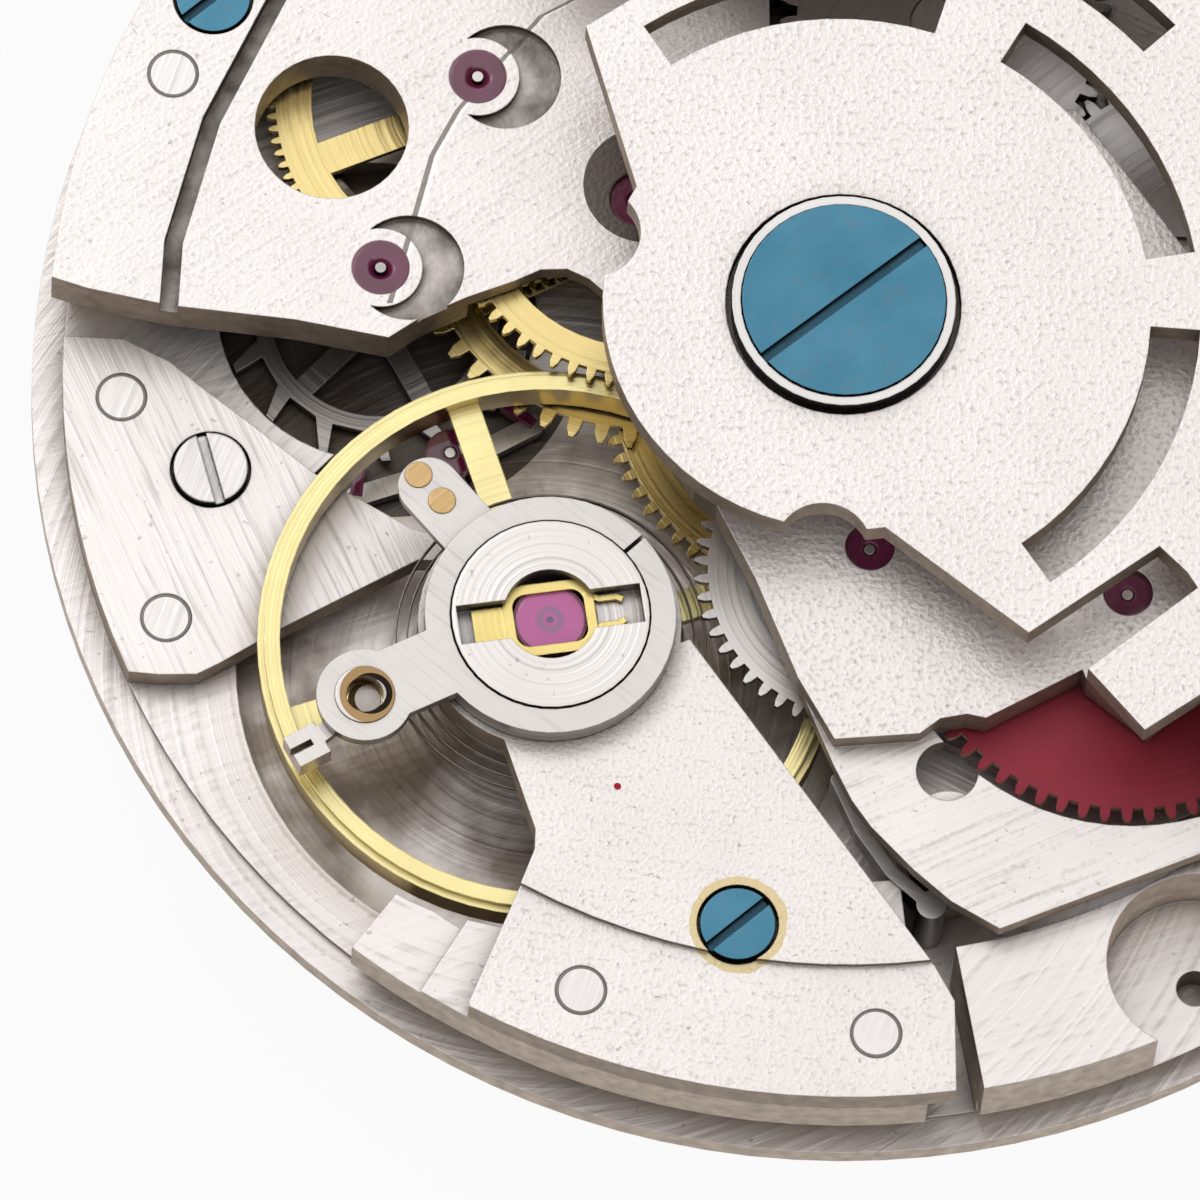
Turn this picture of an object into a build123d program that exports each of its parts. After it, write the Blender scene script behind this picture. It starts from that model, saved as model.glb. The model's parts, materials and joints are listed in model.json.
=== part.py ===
from build123d import *
from math import atan2, cos, degrees, hypot, pi, radians, sin, sqrt
import os

# Automatic watch movement, dial side down: every piece is a separate solid.
# The origin lies on the rotor axis at the dial seat, +Z points to the rotor side, sizes are millimetres.

# Case and plate
MOVEMENT_RADIUS = 13.0          # casing flange
FLANGE_STEP = 0.25              # from the flange in to the body, and from the body in to the groove
SEAT_STEP = 0.1                 # from the groove in to the dial seat
BODY_RADIUS = MOVEMENT_RADIUS - FLANGE_STEP
GROOVE_RADIUS = BODY_RADIUS - FLANGE_STEP
SEAT_RADIUS = GROOVE_RADIUS - SEAT_STEP
FLANGE_LOW = 0.95
FLANGE_TOP = 1.35
GROOVE_TOP = 1.98
DECK_TOP = 1.45                 # open upper face of the main plate
FLOOR_TOP = 0.78                # thin floor under barrel and escapement
RECESS_FLOOR = 0.92

# Heights of the layers above the dial seat
TRAIN_BRIDGE_LOW = 2.5
BRIDGE_TOP = 3.4
COCK_FOOT_LOW = 2.85
COCK_ARM_LOW = 2.92
COCK_ARM_TOP = 3.5
PALLET_BRIDGE_TOP = 1.95
BARREL_BRIDGE_LOW = 1.9
BARREL_BRIDGE_TOP = 2.35
AUTO_BRIDGE_LOW = 3.48
AUTO_STEP_TOP = 3.78
AUTO_BRIDGE_TOP = 4.15
ROTOR_LOW = 4.95
ROTOR_TOP = 5.45
SCREW_TOP = 5.67

# Running clearances
PIVOT_CLEARANCE = 0.02
SIDE_CLEARANCE = 0.1
HOLE_CLEARANCE = 0.03
OVERRUN = 0.2                   # tools run this far past a face

# Small hardware
PIVOT_RADIUS = 0.09
PIVOT_FINE = 0.07
ARBOR_RADIUS = 0.2
STUD_RADIUS = 0.2               # plain posts that dial side wheels and levers turn on
JEWEL_RADIUS = 0.47
JEWEL_COLLAR_RADIUS = 0.68
JEWEL_THICKNESS = 0.3
JEWEL_CUP_DEPTH = 0.12
DOWEL_RADIUS = 0.42
DOWEL_DEPTH = 0.4
SMALL_SCREW_RADIUS = 0.35
BRIDGE_SCREW_RADIUS = 0.6
BRIDGE_SCREW_SHANK = 0.32
SCREW_HEAD_HEIGHT = 0.3
SCREW_SLOT_WIDTH = 0.16
SCREW_SLOT_DEPTH = 0.12
SCREW_LENGTH = 1.5
WHEEL_THICKNESS = 0.12

# Going train: tooth counts and pitch radii
CENTRE_WHEEL_RADIUS = 3.7
CENTRE_WHEEL_TEETH = 70
THIRD_PINION_TEETH = 8
THIRD_WHEEL_RADIUS = 3.0
THIRD_WHEEL_TEETH = 60
FOURTH_PINION_TEETH = 7
FOURTH_WHEEL_RADIUS = 3.35
FOURTH_WHEEL_TEETH = 96
ESCAPE_PINION_TEETH = 10
BARREL_RADIUS = 5.6
BARREL_TEETH = 84
CENTRE_PINION_TEETH = 12
ESCAPE_WHEEL_RADIUS = 2.5
ESCAPE_WHEEL_TEETH = 15
SECONDS_PINION_TEETH = 7
SECONDS_WHEEL_TEETH = 48
FOURTH_ANGLE = 140.8            # seen from the rotor axis
FOURTH_TO_ESCAPE_ANGLE = 244.6
BARREL_ANGLE = 20.0
BARREL_DRUM_TOP = 1.65
CENTRE_WHEEL_LOW = 1.71
SECONDS_WHEEL_LOW = 1.88
SECONDS_WHEEL_THICKNESS = 0.1
FOURTH_WHEEL_LOW = 2.15
THIRD_WHEEL_LOW = 2.85
ESCAPE_WHEEL_LOW = 1.05
CENTRE_TUBE_RADIUS = 0.43
CENTRE_ARBOR_LOW = -0.4
BARREL_ARBOR_RADIUS = 0.55
BARREL_LOW = 0.9
BARREL_TOOTH_HEIGHT = 0.3
BARREL_DRUM_RADIUS = 5.25
MAINSPRING_INNER = 1.5
MAINSPRING_PITCH = 0.5
MAINSPRING_TURNS = 6
MAINSPRING_THICKNESS = 0.14
TOOTH_HALF_SHARES = (0.27, 0.22, 0.08)      # root, pitch line and tip, of one tooth pitch
TOOTH_HEIGHT_SHARES = (-0.38, 0, 0.3)       # the same three places, of one tooth pitch
WHEEL_RIM_SHARE = 0.8
WHEEL_HUB_SHARE = 0.27
WHEEL_SPOKE_SHARE = 0.17
ESCAPE_RIM_SHARE = 0.86
ESCAPE_TOOTH_SHARES = ((0.8, 0.0), (1.0, 0.32), (1.0, 0.46), (0.8, 0.36))
SMALL_BRIDGE_LOW = 2.0          # carries the foot of the fourth arbor, over the seconds drive wheel
SMALL_BRIDGE_TOP = 2.13
SMALL_BRIDGE_WIDTH = 1.2
SMALL_BRIDGE_LENGTH = 3.0

# Pallets
PALLET_JEWEL_RADIUS = 0.4
STONE_WIDTH = 0.2
STONE_LENGTH = 0.62
FORK_WIDTH = 0.34
FORK_END_GAP = 0.36

# Balance
BALANCE_X = -4.68
BALANCE_Y = -4.78
BALANCE_RADIUS = 4.68
BALANCE_RIM_WIDTH = 0.36
BALANCE_RIM_LOW = 2.08
BALANCE_RIM_TOP = 2.75
BALANCE_ARM_WIDTH = 0.52
BALANCE_ARM_LOW = 2.28
BALANCE_ARM_TOP = 2.46
BALANCE_ARM_ANGLE = 18.0
BALANCE_HUB_RADIUS = 0.75
ROLLER_RADIUS = 0.62
ROLLER_LOW = 1.24
ROLLER_TOP = 1.38
IMPULSE_PIN_RADIUS = 0.09
IMPULSE_PIN_OFFSET = 0.42
HAIRSPRING_INNER = 0.62
HAIRSPRING_PITCH = 0.53
HAIRSPRING_TURNS = 5
HAIRSPRING_WIRE = 0.08
HAIRSPRING_HEIGHT = 2.68
STAFF_RADIUS = 0.22

# Regulator, stud carrier and shock settings
REGULATOR_OUTER = 2.02
REGULATOR_INNER = 1.62
REGULATOR_LOW = 3.53
REGULATOR_TOP = 3.7
CARRIER_TOP = 3.93
CARRIER_GAP = 0.015
REGULATOR_ARM_ANGLE = 130.5
REGULATOR_ARM_REACH = 2.98
REGULATOR_ARM_WIDTH = 1.0
CURB_RIVET_RADIUS = 0.22
CURB_RIVET_REACHES = (2.66, 3.24)
CURB_RIVET_LOW = 3.05
CARRIER_ARM_ANGLE = 205.0
CARRIER_ARM_REACH = 3.29
CARRIER_BOSS_RADIUS = 0.78
CARRIER_SPLIT_ANGLE = 42.0
CARRIER_SPLIT_WIDTH = 0.07
EYELET_RADIUS = 0.48
EYELET_BORE = 0.3
STUD_LOW = 2.8
FORK_BLOCK_REACH = 4.46
FORK_BLOCK_ANGLE = 209.0
FORK_BLOCK_SIZE = 0.56
FORK_BLOCK_LOW = 3.25
SHOCK_BORE = 0.98
SHOCK_LOWER_RADIUS = 1.0
SHOCK_LOWER_LOW = 0.14
SHOCK_LOWER_TOP = 0.86
SETTING_RADIUS = 1.59
SETTING_TOP = 3.96
SETTING_BORE = 0.76
SETTING_SLOT = 0.66
SETTING_SLOT_DEPTH = 0.3
SETTING_ANGLE = 8.0
CAP_JEWEL_RADIUS = 0.6
CAP_JEWEL_LOW = 3.38
CAP_JEWEL_TOP = 3.68
HOLE_JEWEL_LOW = 3.08
HOLE_JEWEL_TOP = 3.3
LOWER_HOLE_JEWEL_LOW = 0.6
LYRE_THICKNESS = 0.08
LYRE_WIDTH = 0.13

# Automatic work
ROTOR_AXIS_ANGLE = 34.0         # direction of the heavy half at rest
ROTOR_HUB_RADIUS = 3.87
ROTOR_RIM_STEP = 0.15           # from the flange in to the rotor's rim
ROTOR_WEIGHT_RADIUS = MOVEMENT_RADIUS - ROTOR_RIM_STEP
ROTOR_WEIGHT_INNER = 8.95
ROTOR_WEB_RADIUS = 9.65
ROTOR_WEIGHT_LOW = 4.2
ROTOR_WEIGHT_HALF_ANGLE = 84.0
ROTOR_SCREW_RADIUS = 1.64
ROTOR_SCREW_SLOT = 0.18
ROTOR_COLLAR_RADIUS = 1.8
ROTOR_HOLE_RADIUS = 1.9
ROTOR_TUBE_RADIUS = 1.1
ROTOR_POST_RADIUS = 0.5
ROTOR_NOTCH_RADIUS = 0.77       # two round bites out of the hub, beside the arms
ROTOR_NOTCH_REACH = 4.2
ROTOR_NOTCH_ANGLE = 129.0
RED_WHEEL_RADIUS = 3.55
RED_WHEEL_TEETH = 62
ROTOR_GEAR_TEETH = 50
RED_WHEEL_X = 4.59
RED_WHEEL_Y = -4.42
RED_WHEEL_LOW = 3.27
STEEL_WHEEL_X = 0.45
STEEL_WHEEL_Y = -3.67
STEEL_WHEEL_RADIUS = 2.68
STEEL_WHEEL_TEETH = 53
STEEL_WHEEL_LOW = 2.95
STEEL_PINION_RADIUS = 0.5
STEEL_PINION_TEETH = 8
TRANSFER_RADIUS = 2.4
TRANSFER_TEETH = 38
RATCHET_RADIUS = 3.0
RATCHET_TEETH = 48
RATCHET_LOW = 2.42
RATCHET_THICKNESS = 0.22
AUTO_PLATE_LOW = 2.0            # lower plate of the automatic work
AUTO_JEWEL_RADIUS = 0.4
AUTO_BORE = 1.25
WINDOW_END_RADIUS = 0.5
ROTOR_GEAR_RECESS = 3.2
ROTOR_SCREW_SEAT = 5.15
ROTOR_SCREW_TURN = 38.0
POST_LOW = 2.8
POST_TOP = 4.5
SLOT_INNER = 4.95
SLOT_OUTER = 5.75
SLOT_SPANS = ((-24.5, 24.5), (38, 89.5), (-89.5, -38))
OUTER_SLOT_INNER = 6.6
OUTER_SLOT_OUTER = 7.3
OUTER_SLOT_SPANS = ((8, 28), (-28, -8))
WEB_SPAN = 66.0
CLICK_ANGLE = 22.0
CLICK_PIVOT_REACH = 4.35
CLICK_WIDTH = 0.6
CLICK_SPRING_RADIUS = 0.1
GAP_SPRING_WIDTH = 0.22
GAP_PIN_RADIUS = 0.24

# Hand winding and setting
STEM_HEIGHT = 1.35
STEM_RADIUS = 0.3
STEM_TIP = 4.1                  # inner end, from the rotor axis
STEM_JOURNAL_RADIUS = 0.65
STEM_JOURNAL_LENGTH = 1.5
STEM_THREAD_RADIUS = 0.45
STEM_THREAD_LENGTH = 1.4
STEM_PROJECTION = 1.5           # beyond the flange
STEM_END = MOVEMENT_RADIUS + STEM_PROJECTION
STEM_THREAD_START = STEM_END - STEM_THREAD_LENGTH
STEM_JOURNAL_START = STEM_THREAD_START - STEM_JOURNAL_LENGTH
STEM_GROOVE_START = 8.45
STEM_GROOVE_LENGTH = 0.35
CROWN_WHEEL_X = 1.9
CROWN_WHEEL_Y = 6.0
CROWN_WHEEL_TEETH = 42
CROWN_STUD_RADIUS = 0.6
WINDING_PINION_RADIUS = 1.0
WINDING_PINION_TEETH = 16
WINDING_PINION_LENGTH = 0.8
CLUTCH_RADIUS = 0.7
CLUTCH_LENGTH = 0.9
CLUTCH_WAIST_RADIUS = 0.48
CLUTCH_TRAVEL_GAP = 0.06
LEVER_LOW = 0.2
LEVER_TOP = 0.36
LEVER_WIDTH = 0.5
LEVER_OFFSET = 2.0              # pivots of the setting lever and the yoke, beside the stem

# Motion work and calendar on the dial side
CANNON_RADIUS = 0.625
CANNON_TEETH = 12
MINUTE_WHEEL_RADIUS = 1.875
MINUTE_WHEEL_TEETH = 36
MINUTE_PINION_RADIUS = 0.5
MINUTE_PINION_TEETH = 10
HOUR_WHEEL_RADIUS = 2.0
HOUR_WHEEL_TEETH = 40
HOUR_PIPE_RADIUS = 1.0
HOUR_SEAT_RADIUS = 0.8          # the hour, minute and seconds hands sit on three seats of their own
HOUR_SEAT_TOP = -0.2
HOUR_PIPE_LOW = -0.95
CANNON_TUBE_RADIUS = 0.625
MINUTE_SEAT_RADIUS = 0.45
MINUTE_SEAT_TOP = -1.0
CANNON_LOW = -1.55
SECONDS_ARBOR_RADIUS = 0.29
SECONDS_POST_RADIUS = 0.125
SECONDS_LOW = -2.05
SETTING_WHEEL_RADIUS = 0.85
SETTING_WHEEL_TEETH = 16
SETTING_WHEEL_TOP = 0.59
DIAL_WORK_LOW = 0.2
DIAL_WORK_STEP = 0.17           # height of one wheel layer on the dial side
DIAL_POCKET_TOP = 0.56
DATE_WHEEL_RADIUS = 2.0
DATE_WHEEL_TEETH = 40
DATE_IDLER_RADIUS = 1.5
DATE_IDLER_TEETH = 30
DATE_IDLER_PINION_RADIUS = 0.75
DATE_IDLER_PINION_TEETH = 15
DATE_WORK_ANGLE = 300.0
DATE_FINGER_REACH = 2.5
DATE_RING_STEP = 1.0            # from the dial seat in to the ring
DATE_RING_OUTER = SEAT_RADIUS - DATE_RING_STEP
DATE_RING_INNER = 9.1
DATE_RING_TOP = 0.42
DATE_RING_LOW = 0.14
DATE_RING_TEETH = 31
DATE_TOOTH_DEPTH = 0.5
DATE_COVER_RADIUS = 10.1
DATE_COVER_THICKNESS = 0.1
JUMPER_PIVOT_REACH = 6.4
JUMPER_END_REACH = 8.2
CALENDAR_SCREW_REACH = 6.8
CALENDAR_SCREW_TOP = 0.5
CALENDAR_SCREW_ANGLES = (20, 140, 250)
DIAL_FEET_STEP = 0.45           # from the dial seat in to the foot holes
DIAL_FEET_ANGLES = (100, 280)
DIAL_FOOT_HOLE = 0.35

# Details of the plate and the bridges
CLAMP_X = 5.7
CLAMP_Y = -10.4
CLAMP_RECESS_RADIUS = 1.5
CLAMP_RECESS_FLOOR = 2.0
CLAMP_WALL_TOP = 3.3
CLAMP_THREAD_RADIUS = 0.3
LUG_TOP = 2.75
RIM_WALL_SHARES = (0.88, 0.88, 0.81, 0.9, 0.7)      # inner edges, of the body radius
RIM_WALLS = (                   # first and last angle, and top
    (96, 173, TRAIN_BRIDGE_LOW), (-48, 82, BARREL_BRIDGE_LOW), (280, 311, CLAMP_WALL_TOP),
    (232, 238, LUG_TOP), (238, 276, COCK_FOOT_LOW),
)
PIVOT_POCKET = 0.5
BALANCE_RECESS_RADIUS = 5.0
BARREL_SCREW_ANGLES = (-12, 64)
WINDOW_RADIUS = 1.25
TRAIN_POCKET_TOP = 3.03
CRESCENT_DEPTH = 0.15
CRESCENT_SHIFT = 0.45
GROOVE_WIDTH = 0.3
GROOVE_DEPTH = 0.3
COCK_STEP_RADIUS = 10.55
COCK_FOOT_SHARE = 0.72

# Outlines and places, as shares of the movement radius
TRAIN_BRIDGE_SHARES = [
    (-0.08, 1.1), (-0.08, 0.2), (0.055, 0.06), (0.055, -0.02), (-0.03, -0.055), (-0.15, 0.02),
    (-0.288, 0.075), (-0.308, 0.093), (-0.335, 0.106), (-0.368, 0.105), (-0.402, 0.089),
    (-0.459, 0.068), (-0.515, 0.042), (-0.558, 0.013), (-0.674, 0.036), (-0.831, 0.054),
    (-0.932, 0.076), (-0.99, 0.095), (-1.2, 0.12), (-1.2, 1.1),
]
PALLET_BRIDGE_SHARES = [
    (-1.1, 0.062), (-0.885, 0.052), (-0.828, 0.022), (-0.791, -0.01), (-0.725, -0.062), (-0.648, -0.126),
    (-0.53, -0.197), (-0.462, -0.219), (-0.476, -0.241), (-0.519, -0.24), (-0.684, -0.329), (-0.765, -0.378),
    (-0.794, -0.393), (-0.84, -0.394), (-1.1, -0.37),
]
COCK_SHARES = [
    (-0.187, -0.387), (0.105, -0.804), (0.111, -0.81), (0.135, -0.855), (0.136, -1.1), (-0.49, -1.1),
    (-0.461, -0.859), (-0.398, -0.709), (-0.38, -0.663), (-0.379, -0.637), (-0.43, -0.48),
]
AUTO_UPPER_SHARES = [
    (-0.16, 0.36), (-0.245, 0.16), (-0.25, -0.09), (-0.181, -0.206), (-0.154, -0.23), (-0.107, -0.326),
    (-0.056, -0.455), (-0.012, -0.535), (0.093, -0.527), (0.119, -0.507), (0.152, -0.501), (0.175, -0.506),
    (0.295, -0.442), (0.3, -0.455), (0.377, -0.518), (0.52, -0.38), (0.6, -0.2), (0.5, 0.02), (0.3, 0.3),
]
AUTO_LOWER_SHARES = [
    (-0.06, -0.44), (-0.012, -0.559), (0.01, -0.605), (0.033, -0.639), (0.085, -0.695), (0.131, -0.736),
    (0.19, -0.771), (0.438, -0.672), (0.66, -0.6), (0.74, -0.5), (0.79, -0.2), (0.74, -0.13), (0.5, -0.15),
    (0.3, -0.3),
]
AUTO_PLATE_SHARES = [
    (0.0, -0.22), (0.0, -0.4), (0.04, -0.55), (0.08, -0.68), (0.2, -0.68), (0.44, -0.58), (0.62, -0.56),
    (0.73, -0.48), (0.52, -0.3), (0.3, -0.13), (0.16, -0.12),
]
BARREL_BRIDGE_SHARES = [
    (0.1, 0.0), (0.11, 0.62), (0.2, 1.1), (1.1, 1.1), (1.1, -0.35), (0.7, -0.35), (0.34, -0.06),
]
ROTOR_WEB_SHARES = [
    (0.3, 0.665), (-0.01, 0.665), (-0.022, 0.561), (0.151, 0.549), (0.152, 0.525), (0.143, 0.478),
    (-0.056, 0.482), (-0.135, 0.238), (-0.171, 0.194), (-0.22, 0.1),
]
GROOVE_SHARES = [(-0.66, 0.54), (-0.778, 0.302), (-0.825, 0.139), (-0.831, 0.05)]
GAP_SPRING_SHARES = [(-0.004, -0.554), (0.025, -0.62), (0.062, -0.675), (0.095, -0.705)]
GAP_PIN_SHARES = (0.11, -0.717)
TRAIN_DOWEL_SHARES = [(-0.826, 0.364), (-0.12, 0.9)]
PALLET_DOWEL_SHARES = [(-0.888, -0.026), (-0.832, -0.319)]
COCK_DOWEL_SHARES = [(-0.324, -0.844), (0.038, -0.898)]
TRAIN_SCREW_SHARES = [(-0.776, 0.468), (-0.36, 0.84)]
COCK_SCREW_SHARES = (-0.131, -0.759)
PALLET_SCREW_SHARES = (-0.777, -0.122)
AUTO_FOOT_SHARES = [(0.13, -0.64), (0.68, -0.52)]
AUTO_HIGH_FOOT_SHARES = (0.72, -0.2)
AUTO_NEAR_FOOT_SHARES = (-0.1, 0.3)
WINDOW_SHARES = (-0.628, 0.294)
WINDOW_END_SHARES = (0.128, -0.566)


def pitch_step(radius, teeth):
    return 2 * pi * radius / teeth


def point(distance, angle, centre=(0, 0)):
    return (centre[0] + distance * cos(radians(angle)), centre[1] + distance * sin(radians(angle)))


def placed(share):
    return (share[0] * MOVEMENT_RADIUS, share[1] * MOVEMENT_RADIUS)


def scaled(shares):
    return [placed(share) for share in shares]


def heading(a, b):
    return degrees(atan2(b[1] - a[1], b[0] - a[0]))


def rod(radius, low, top, centre=(0, 0)):
    return Pos(centre[0], centre[1], (low + top) / 2) * Cylinder(radius, top - low)


def tube(outer, inner, low, top, centre=(0, 0)):
    return rod(outer, low, top, centre) - rod(inner, low - OVERRUN, top + OVERRUN, centre)


def plate(points, low, top, corner=0):
    line = FilletPolyline(*points, radius=corner, close=True) if corner else Polyline(*points, close=True)
    return Pos(0, 0, low) * extrude(make_face(line), top - low)


def sector(inner, outer, start, end, low, top, centre=(0, 0)):
    middle = (start + end) / 2
    edges = [
        Line(point(inner, start), point(outer, start)),
        ThreePointArc(point(outer, start), point(outer, middle), point(outer, end)),
        Line(point(outer, end), point(inner, end)),
        ThreePointArc(point(inner, end), point(inner, middle), point(inner, start)),
    ]
    return Pos(centre[0], centre[1], low) * extrude(make_face(edges), top - low)


def capsule(a, b, width, low, top):
    length = hypot(b[0] - a[0], b[1] - a[1])
    middle = ((a[0] + b[0]) / 2, (a[1] + b[1]) / 2)
    bar = Pos(*middle, (low + top) / 2) * Rot(0, 0, heading(a, b)) * Box(length, width, top - low)
    return bar + rod(width / 2, low, top, a) + rod(width / 2, low, top, b)


def gear_points(radius, teeth, phase=0):
    pitch = pitch_step(radius, teeth)
    points = []
    for tooth in range(teeth):
        angle = phase + tooth * 360 / teeth
        flank = list(zip(TOOTH_HALF_SHARES, TOOTH_HEIGHT_SHARES))
        for half, height in flank:
            points.append(point(radius + height * pitch, angle - half * 360 / teeth))
        for half, height in reversed(flank):
            points.append(point(radius + height * pitch, angle + half * 360 / teeth))
    return points


def gear(radius, teeth, low, top, centre=(0, 0), bore=0, phase=0):
    body = Pos(*centre, 0) * plate(gear_points(radius, teeth, phase), low, top)
    return body - rod(bore, low - OVERRUN, top + OVERRUN, centre) if bore else body


def spoked(body, radius, low, top, centre, spokes, phase=0):
    window = Circle(radius * WHEEL_RIM_SHARE) - Circle(radius * WHEEL_HUB_SHARE)
    for spoke in range(spokes):
        bar = Rectangle(radius, radius * WHEEL_SPOKE_SHARE, align=(Align.MIN, Align.CENTER))
        window -= Rot(0, 0, phase + spoke * 360 / spokes) * bar
    return body - Pos(*centre, low - OVERRUN) * extrude(window, top - low + 2 * OVERRUN)


def arbor(centre, foot, head, pinion_radius, pinion_teeth, pinion_low, pinion_top, phase=0):
    shoulder = JEWEL_THICKNESS + PIVOT_CLEARANCE
    shaft = rod(ARBOR_RADIUS, foot + shoulder, head - shoulder, centre)
    shaft += rod(PIVOT_RADIUS, foot, head, centre)
    if pinion_teeth:
        shaft += gear(pinion_radius, pinion_teeth, pinion_low, pinion_top, centre, 0, phase)
    return shaft


def mesh_phase(teeth, angle):
    return angle + 180 / teeth


def matched_phase(angle, radius, teeth, phase, other_radius, other_teeth):
    # Turn of a second wheel that puts its gap over the first wheel's nearest tooth; angle leads to the second
    half = 180 / teeth
    lead = (phase - angle + half) % (2 * half) - half
    return angle + 180 - lead * radius / other_radius + 180 / other_teeth


def slotted_screw(centre, top, head_radius, head_height, shank_radius, length, slot_angle):
    screw = rod(head_radius, top - head_height, top, centre)
    screw += rod(shank_radius, top - head_height - length, top - head_height, centre)
    slot = Box(2 * head_radius + OVERRUN, SCREW_SLOT_WIDTH, 2 * SCREW_SLOT_DEPTH)
    return screw - Pos(*centre, top) * Rot(0, 0, slot_angle) * slot


def group(solids):
    return Compound(children=[solid for item in solids for solid in item.solids()])


def meeting_point(a, reach_a, b, reach_b):
    # The place at two given distances from a and b, on the right hand of the way from a to b
    span = hypot(b[0] - a[0], b[1] - a[1])
    along = (reach_a ** 2 - reach_b ** 2 + span ** 2) / (2 * span)
    across = sqrt(reach_a ** 2 - along ** 2)
    way = heading(a, b)
    return point(across, way - 90, point(along, way, a))


# Places of the arbors, worked out from the wheels that mesh
THIRD_PINION_RADIUS = CENTRE_WHEEL_RADIUS * THIRD_PINION_TEETH / CENTRE_WHEEL_TEETH
FOURTH_PINION_RADIUS = THIRD_WHEEL_RADIUS * FOURTH_PINION_TEETH / THIRD_WHEEL_TEETH
ESCAPE_PINION_RADIUS = FOURTH_WHEEL_RADIUS * ESCAPE_PINION_TEETH / FOURTH_WHEEL_TEETH
CENTRE_PINION_RADIUS = BARREL_RADIUS * CENTRE_PINION_TEETH / BARREL_TEETH
CENTRE = (0, 0)
BALANCE = (BALANCE_X, BALANCE_Y)
THIRD = point(CENTRE_WHEEL_RADIUS + THIRD_PINION_RADIUS, FOURTH_ANGLE)
FOURTH = point(THIRD_WHEEL_RADIUS + FOURTH_PINION_RADIUS, FOURTH_ANGLE, THIRD)
ESCAPE = point(FOURTH_WHEEL_RADIUS + ESCAPE_PINION_RADIUS, FOURTH_TO_ESCAPE_ANGLE, FOURTH)
BARREL = point(BARREL_RADIUS + CENTRE_PINION_RADIUS, BARREL_ANGLE)
THIRD_DISTANCE = CENTRE_WHEEL_RADIUS + THIRD_PINION_RADIUS
SECONDS_TEETH = SECONDS_PINION_TEETH + SECONDS_WHEEL_TEETH
SECONDS_PINION_RADIUS = THIRD_DISTANCE * SECONDS_PINION_TEETH / SECONDS_TEETH
SECONDS_WHEEL_RADIUS = THIRD_DISTANCE - SECONDS_PINION_RADIUS
LEVER_ANGLE = heading(ESCAPE, BALANCE)
PALLET_DISTANCE = ESCAPE_WHEEL_RADIUS / cos(radians(30))
PALLET = point(PALLET_DISTANCE, LEVER_ANGLE, ESCAPE)
RED_WHEEL = (RED_WHEEL_X, RED_WHEEL_Y)
STEEL_WHEEL = (STEEL_WHEEL_X, STEEL_WHEEL_Y)
ROTOR_GEAR_RADIUS = hypot(*RED_WHEEL) - RED_WHEEL_RADIUS
REVERSER_PINION_RADIUS = hypot(RED_WHEEL_X - STEEL_WHEEL_X, RED_WHEEL_Y - STEEL_WHEEL_Y) - STEEL_WHEEL_RADIUS
REVERSER_PINION_TEETH = round(STEEL_WHEEL_TEETH * REVERSER_PINION_RADIUS / STEEL_WHEEL_RADIUS)
TRANSFER = meeting_point(STEEL_WHEEL, STEEL_PINION_RADIUS + TRANSFER_RADIUS,
                         BARREL, TRANSFER_RADIUS + RATCHET_RADIUS)
CROWN_WHEEL = (CROWN_WHEEL_X, CROWN_WHEEL_Y)
CROWN_WHEEL_RADIUS = hypot(BARREL[0] - CROWN_WHEEL_X, BARREL[1] - CROWN_WHEEL_Y) - RATCHET_RADIUS
WINDING_PINION_Y = CROWN_WHEEL_Y + sqrt(CROWN_WHEEL_RADIUS ** 2 - CROWN_WHEEL_X ** 2)
MINUTE_WHEEL = (0, CANNON_RADIUS + MINUTE_WHEEL_RADIUS)
SETTING_WHEEL = (0, MINUTE_WHEEL[1] + MINUTE_WHEEL_RADIUS + SETTING_WHEEL_RADIUS)
WINDING_PINION_START = WINDING_PINION_Y - WINDING_PINION_LENGTH / 2
CLUTCH_START = WINDING_PINION_START - CLUTCH_TRAVEL_GAP - CLUTCH_LENGTH
CLAMP = (CLAMP_X, CLAMP_Y)
print("third", THIRD, "fourth", FOURTH, "escape", ESCAPE, "barrel", BARREL, "pallet", PALLET)
print("transfer", TRANSFER, "crown wheel radius", CROWN_WHEEL_RADIUS, "winding pinion y", WINDING_PINION_Y)


def bridge_jewel(centre, top, radius=JEWEL_RADIUS):
    # A domed ruby with an oil cup and a pivot hole
    ruby = rod(radius, top - JEWEL_THICKNESS, top, centre)
    cup = Pos(*centre, top) * Cone(PIVOT_RADIUS, radius - JEWEL_CUP_DEPTH, 2 * JEWEL_CUP_DEPTH)
    return ruby - cup - rod(PIVOT_RADIUS + PIVOT_CLEARANCE, top - JEWEL_THICKNESS - OVERRUN, top, centre)


def jewel_seat(centre, top, radius=JEWEL_RADIUS):
    # Through hole for a ruby, open below it for the arbor
    return rod(radius, top - JEWEL_THICKNESS, top + OVERRUN, centre) + rod(
        ARBOR_RADIUS + SIDE_CLEARANCE, top - 3 * JEWEL_THICKNESS, top - JEWEL_THICKNESS, centre)


def below(centre, radius, low):
    return rod(radius, low, MOVEMENT_RADIUS, centre)


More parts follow.
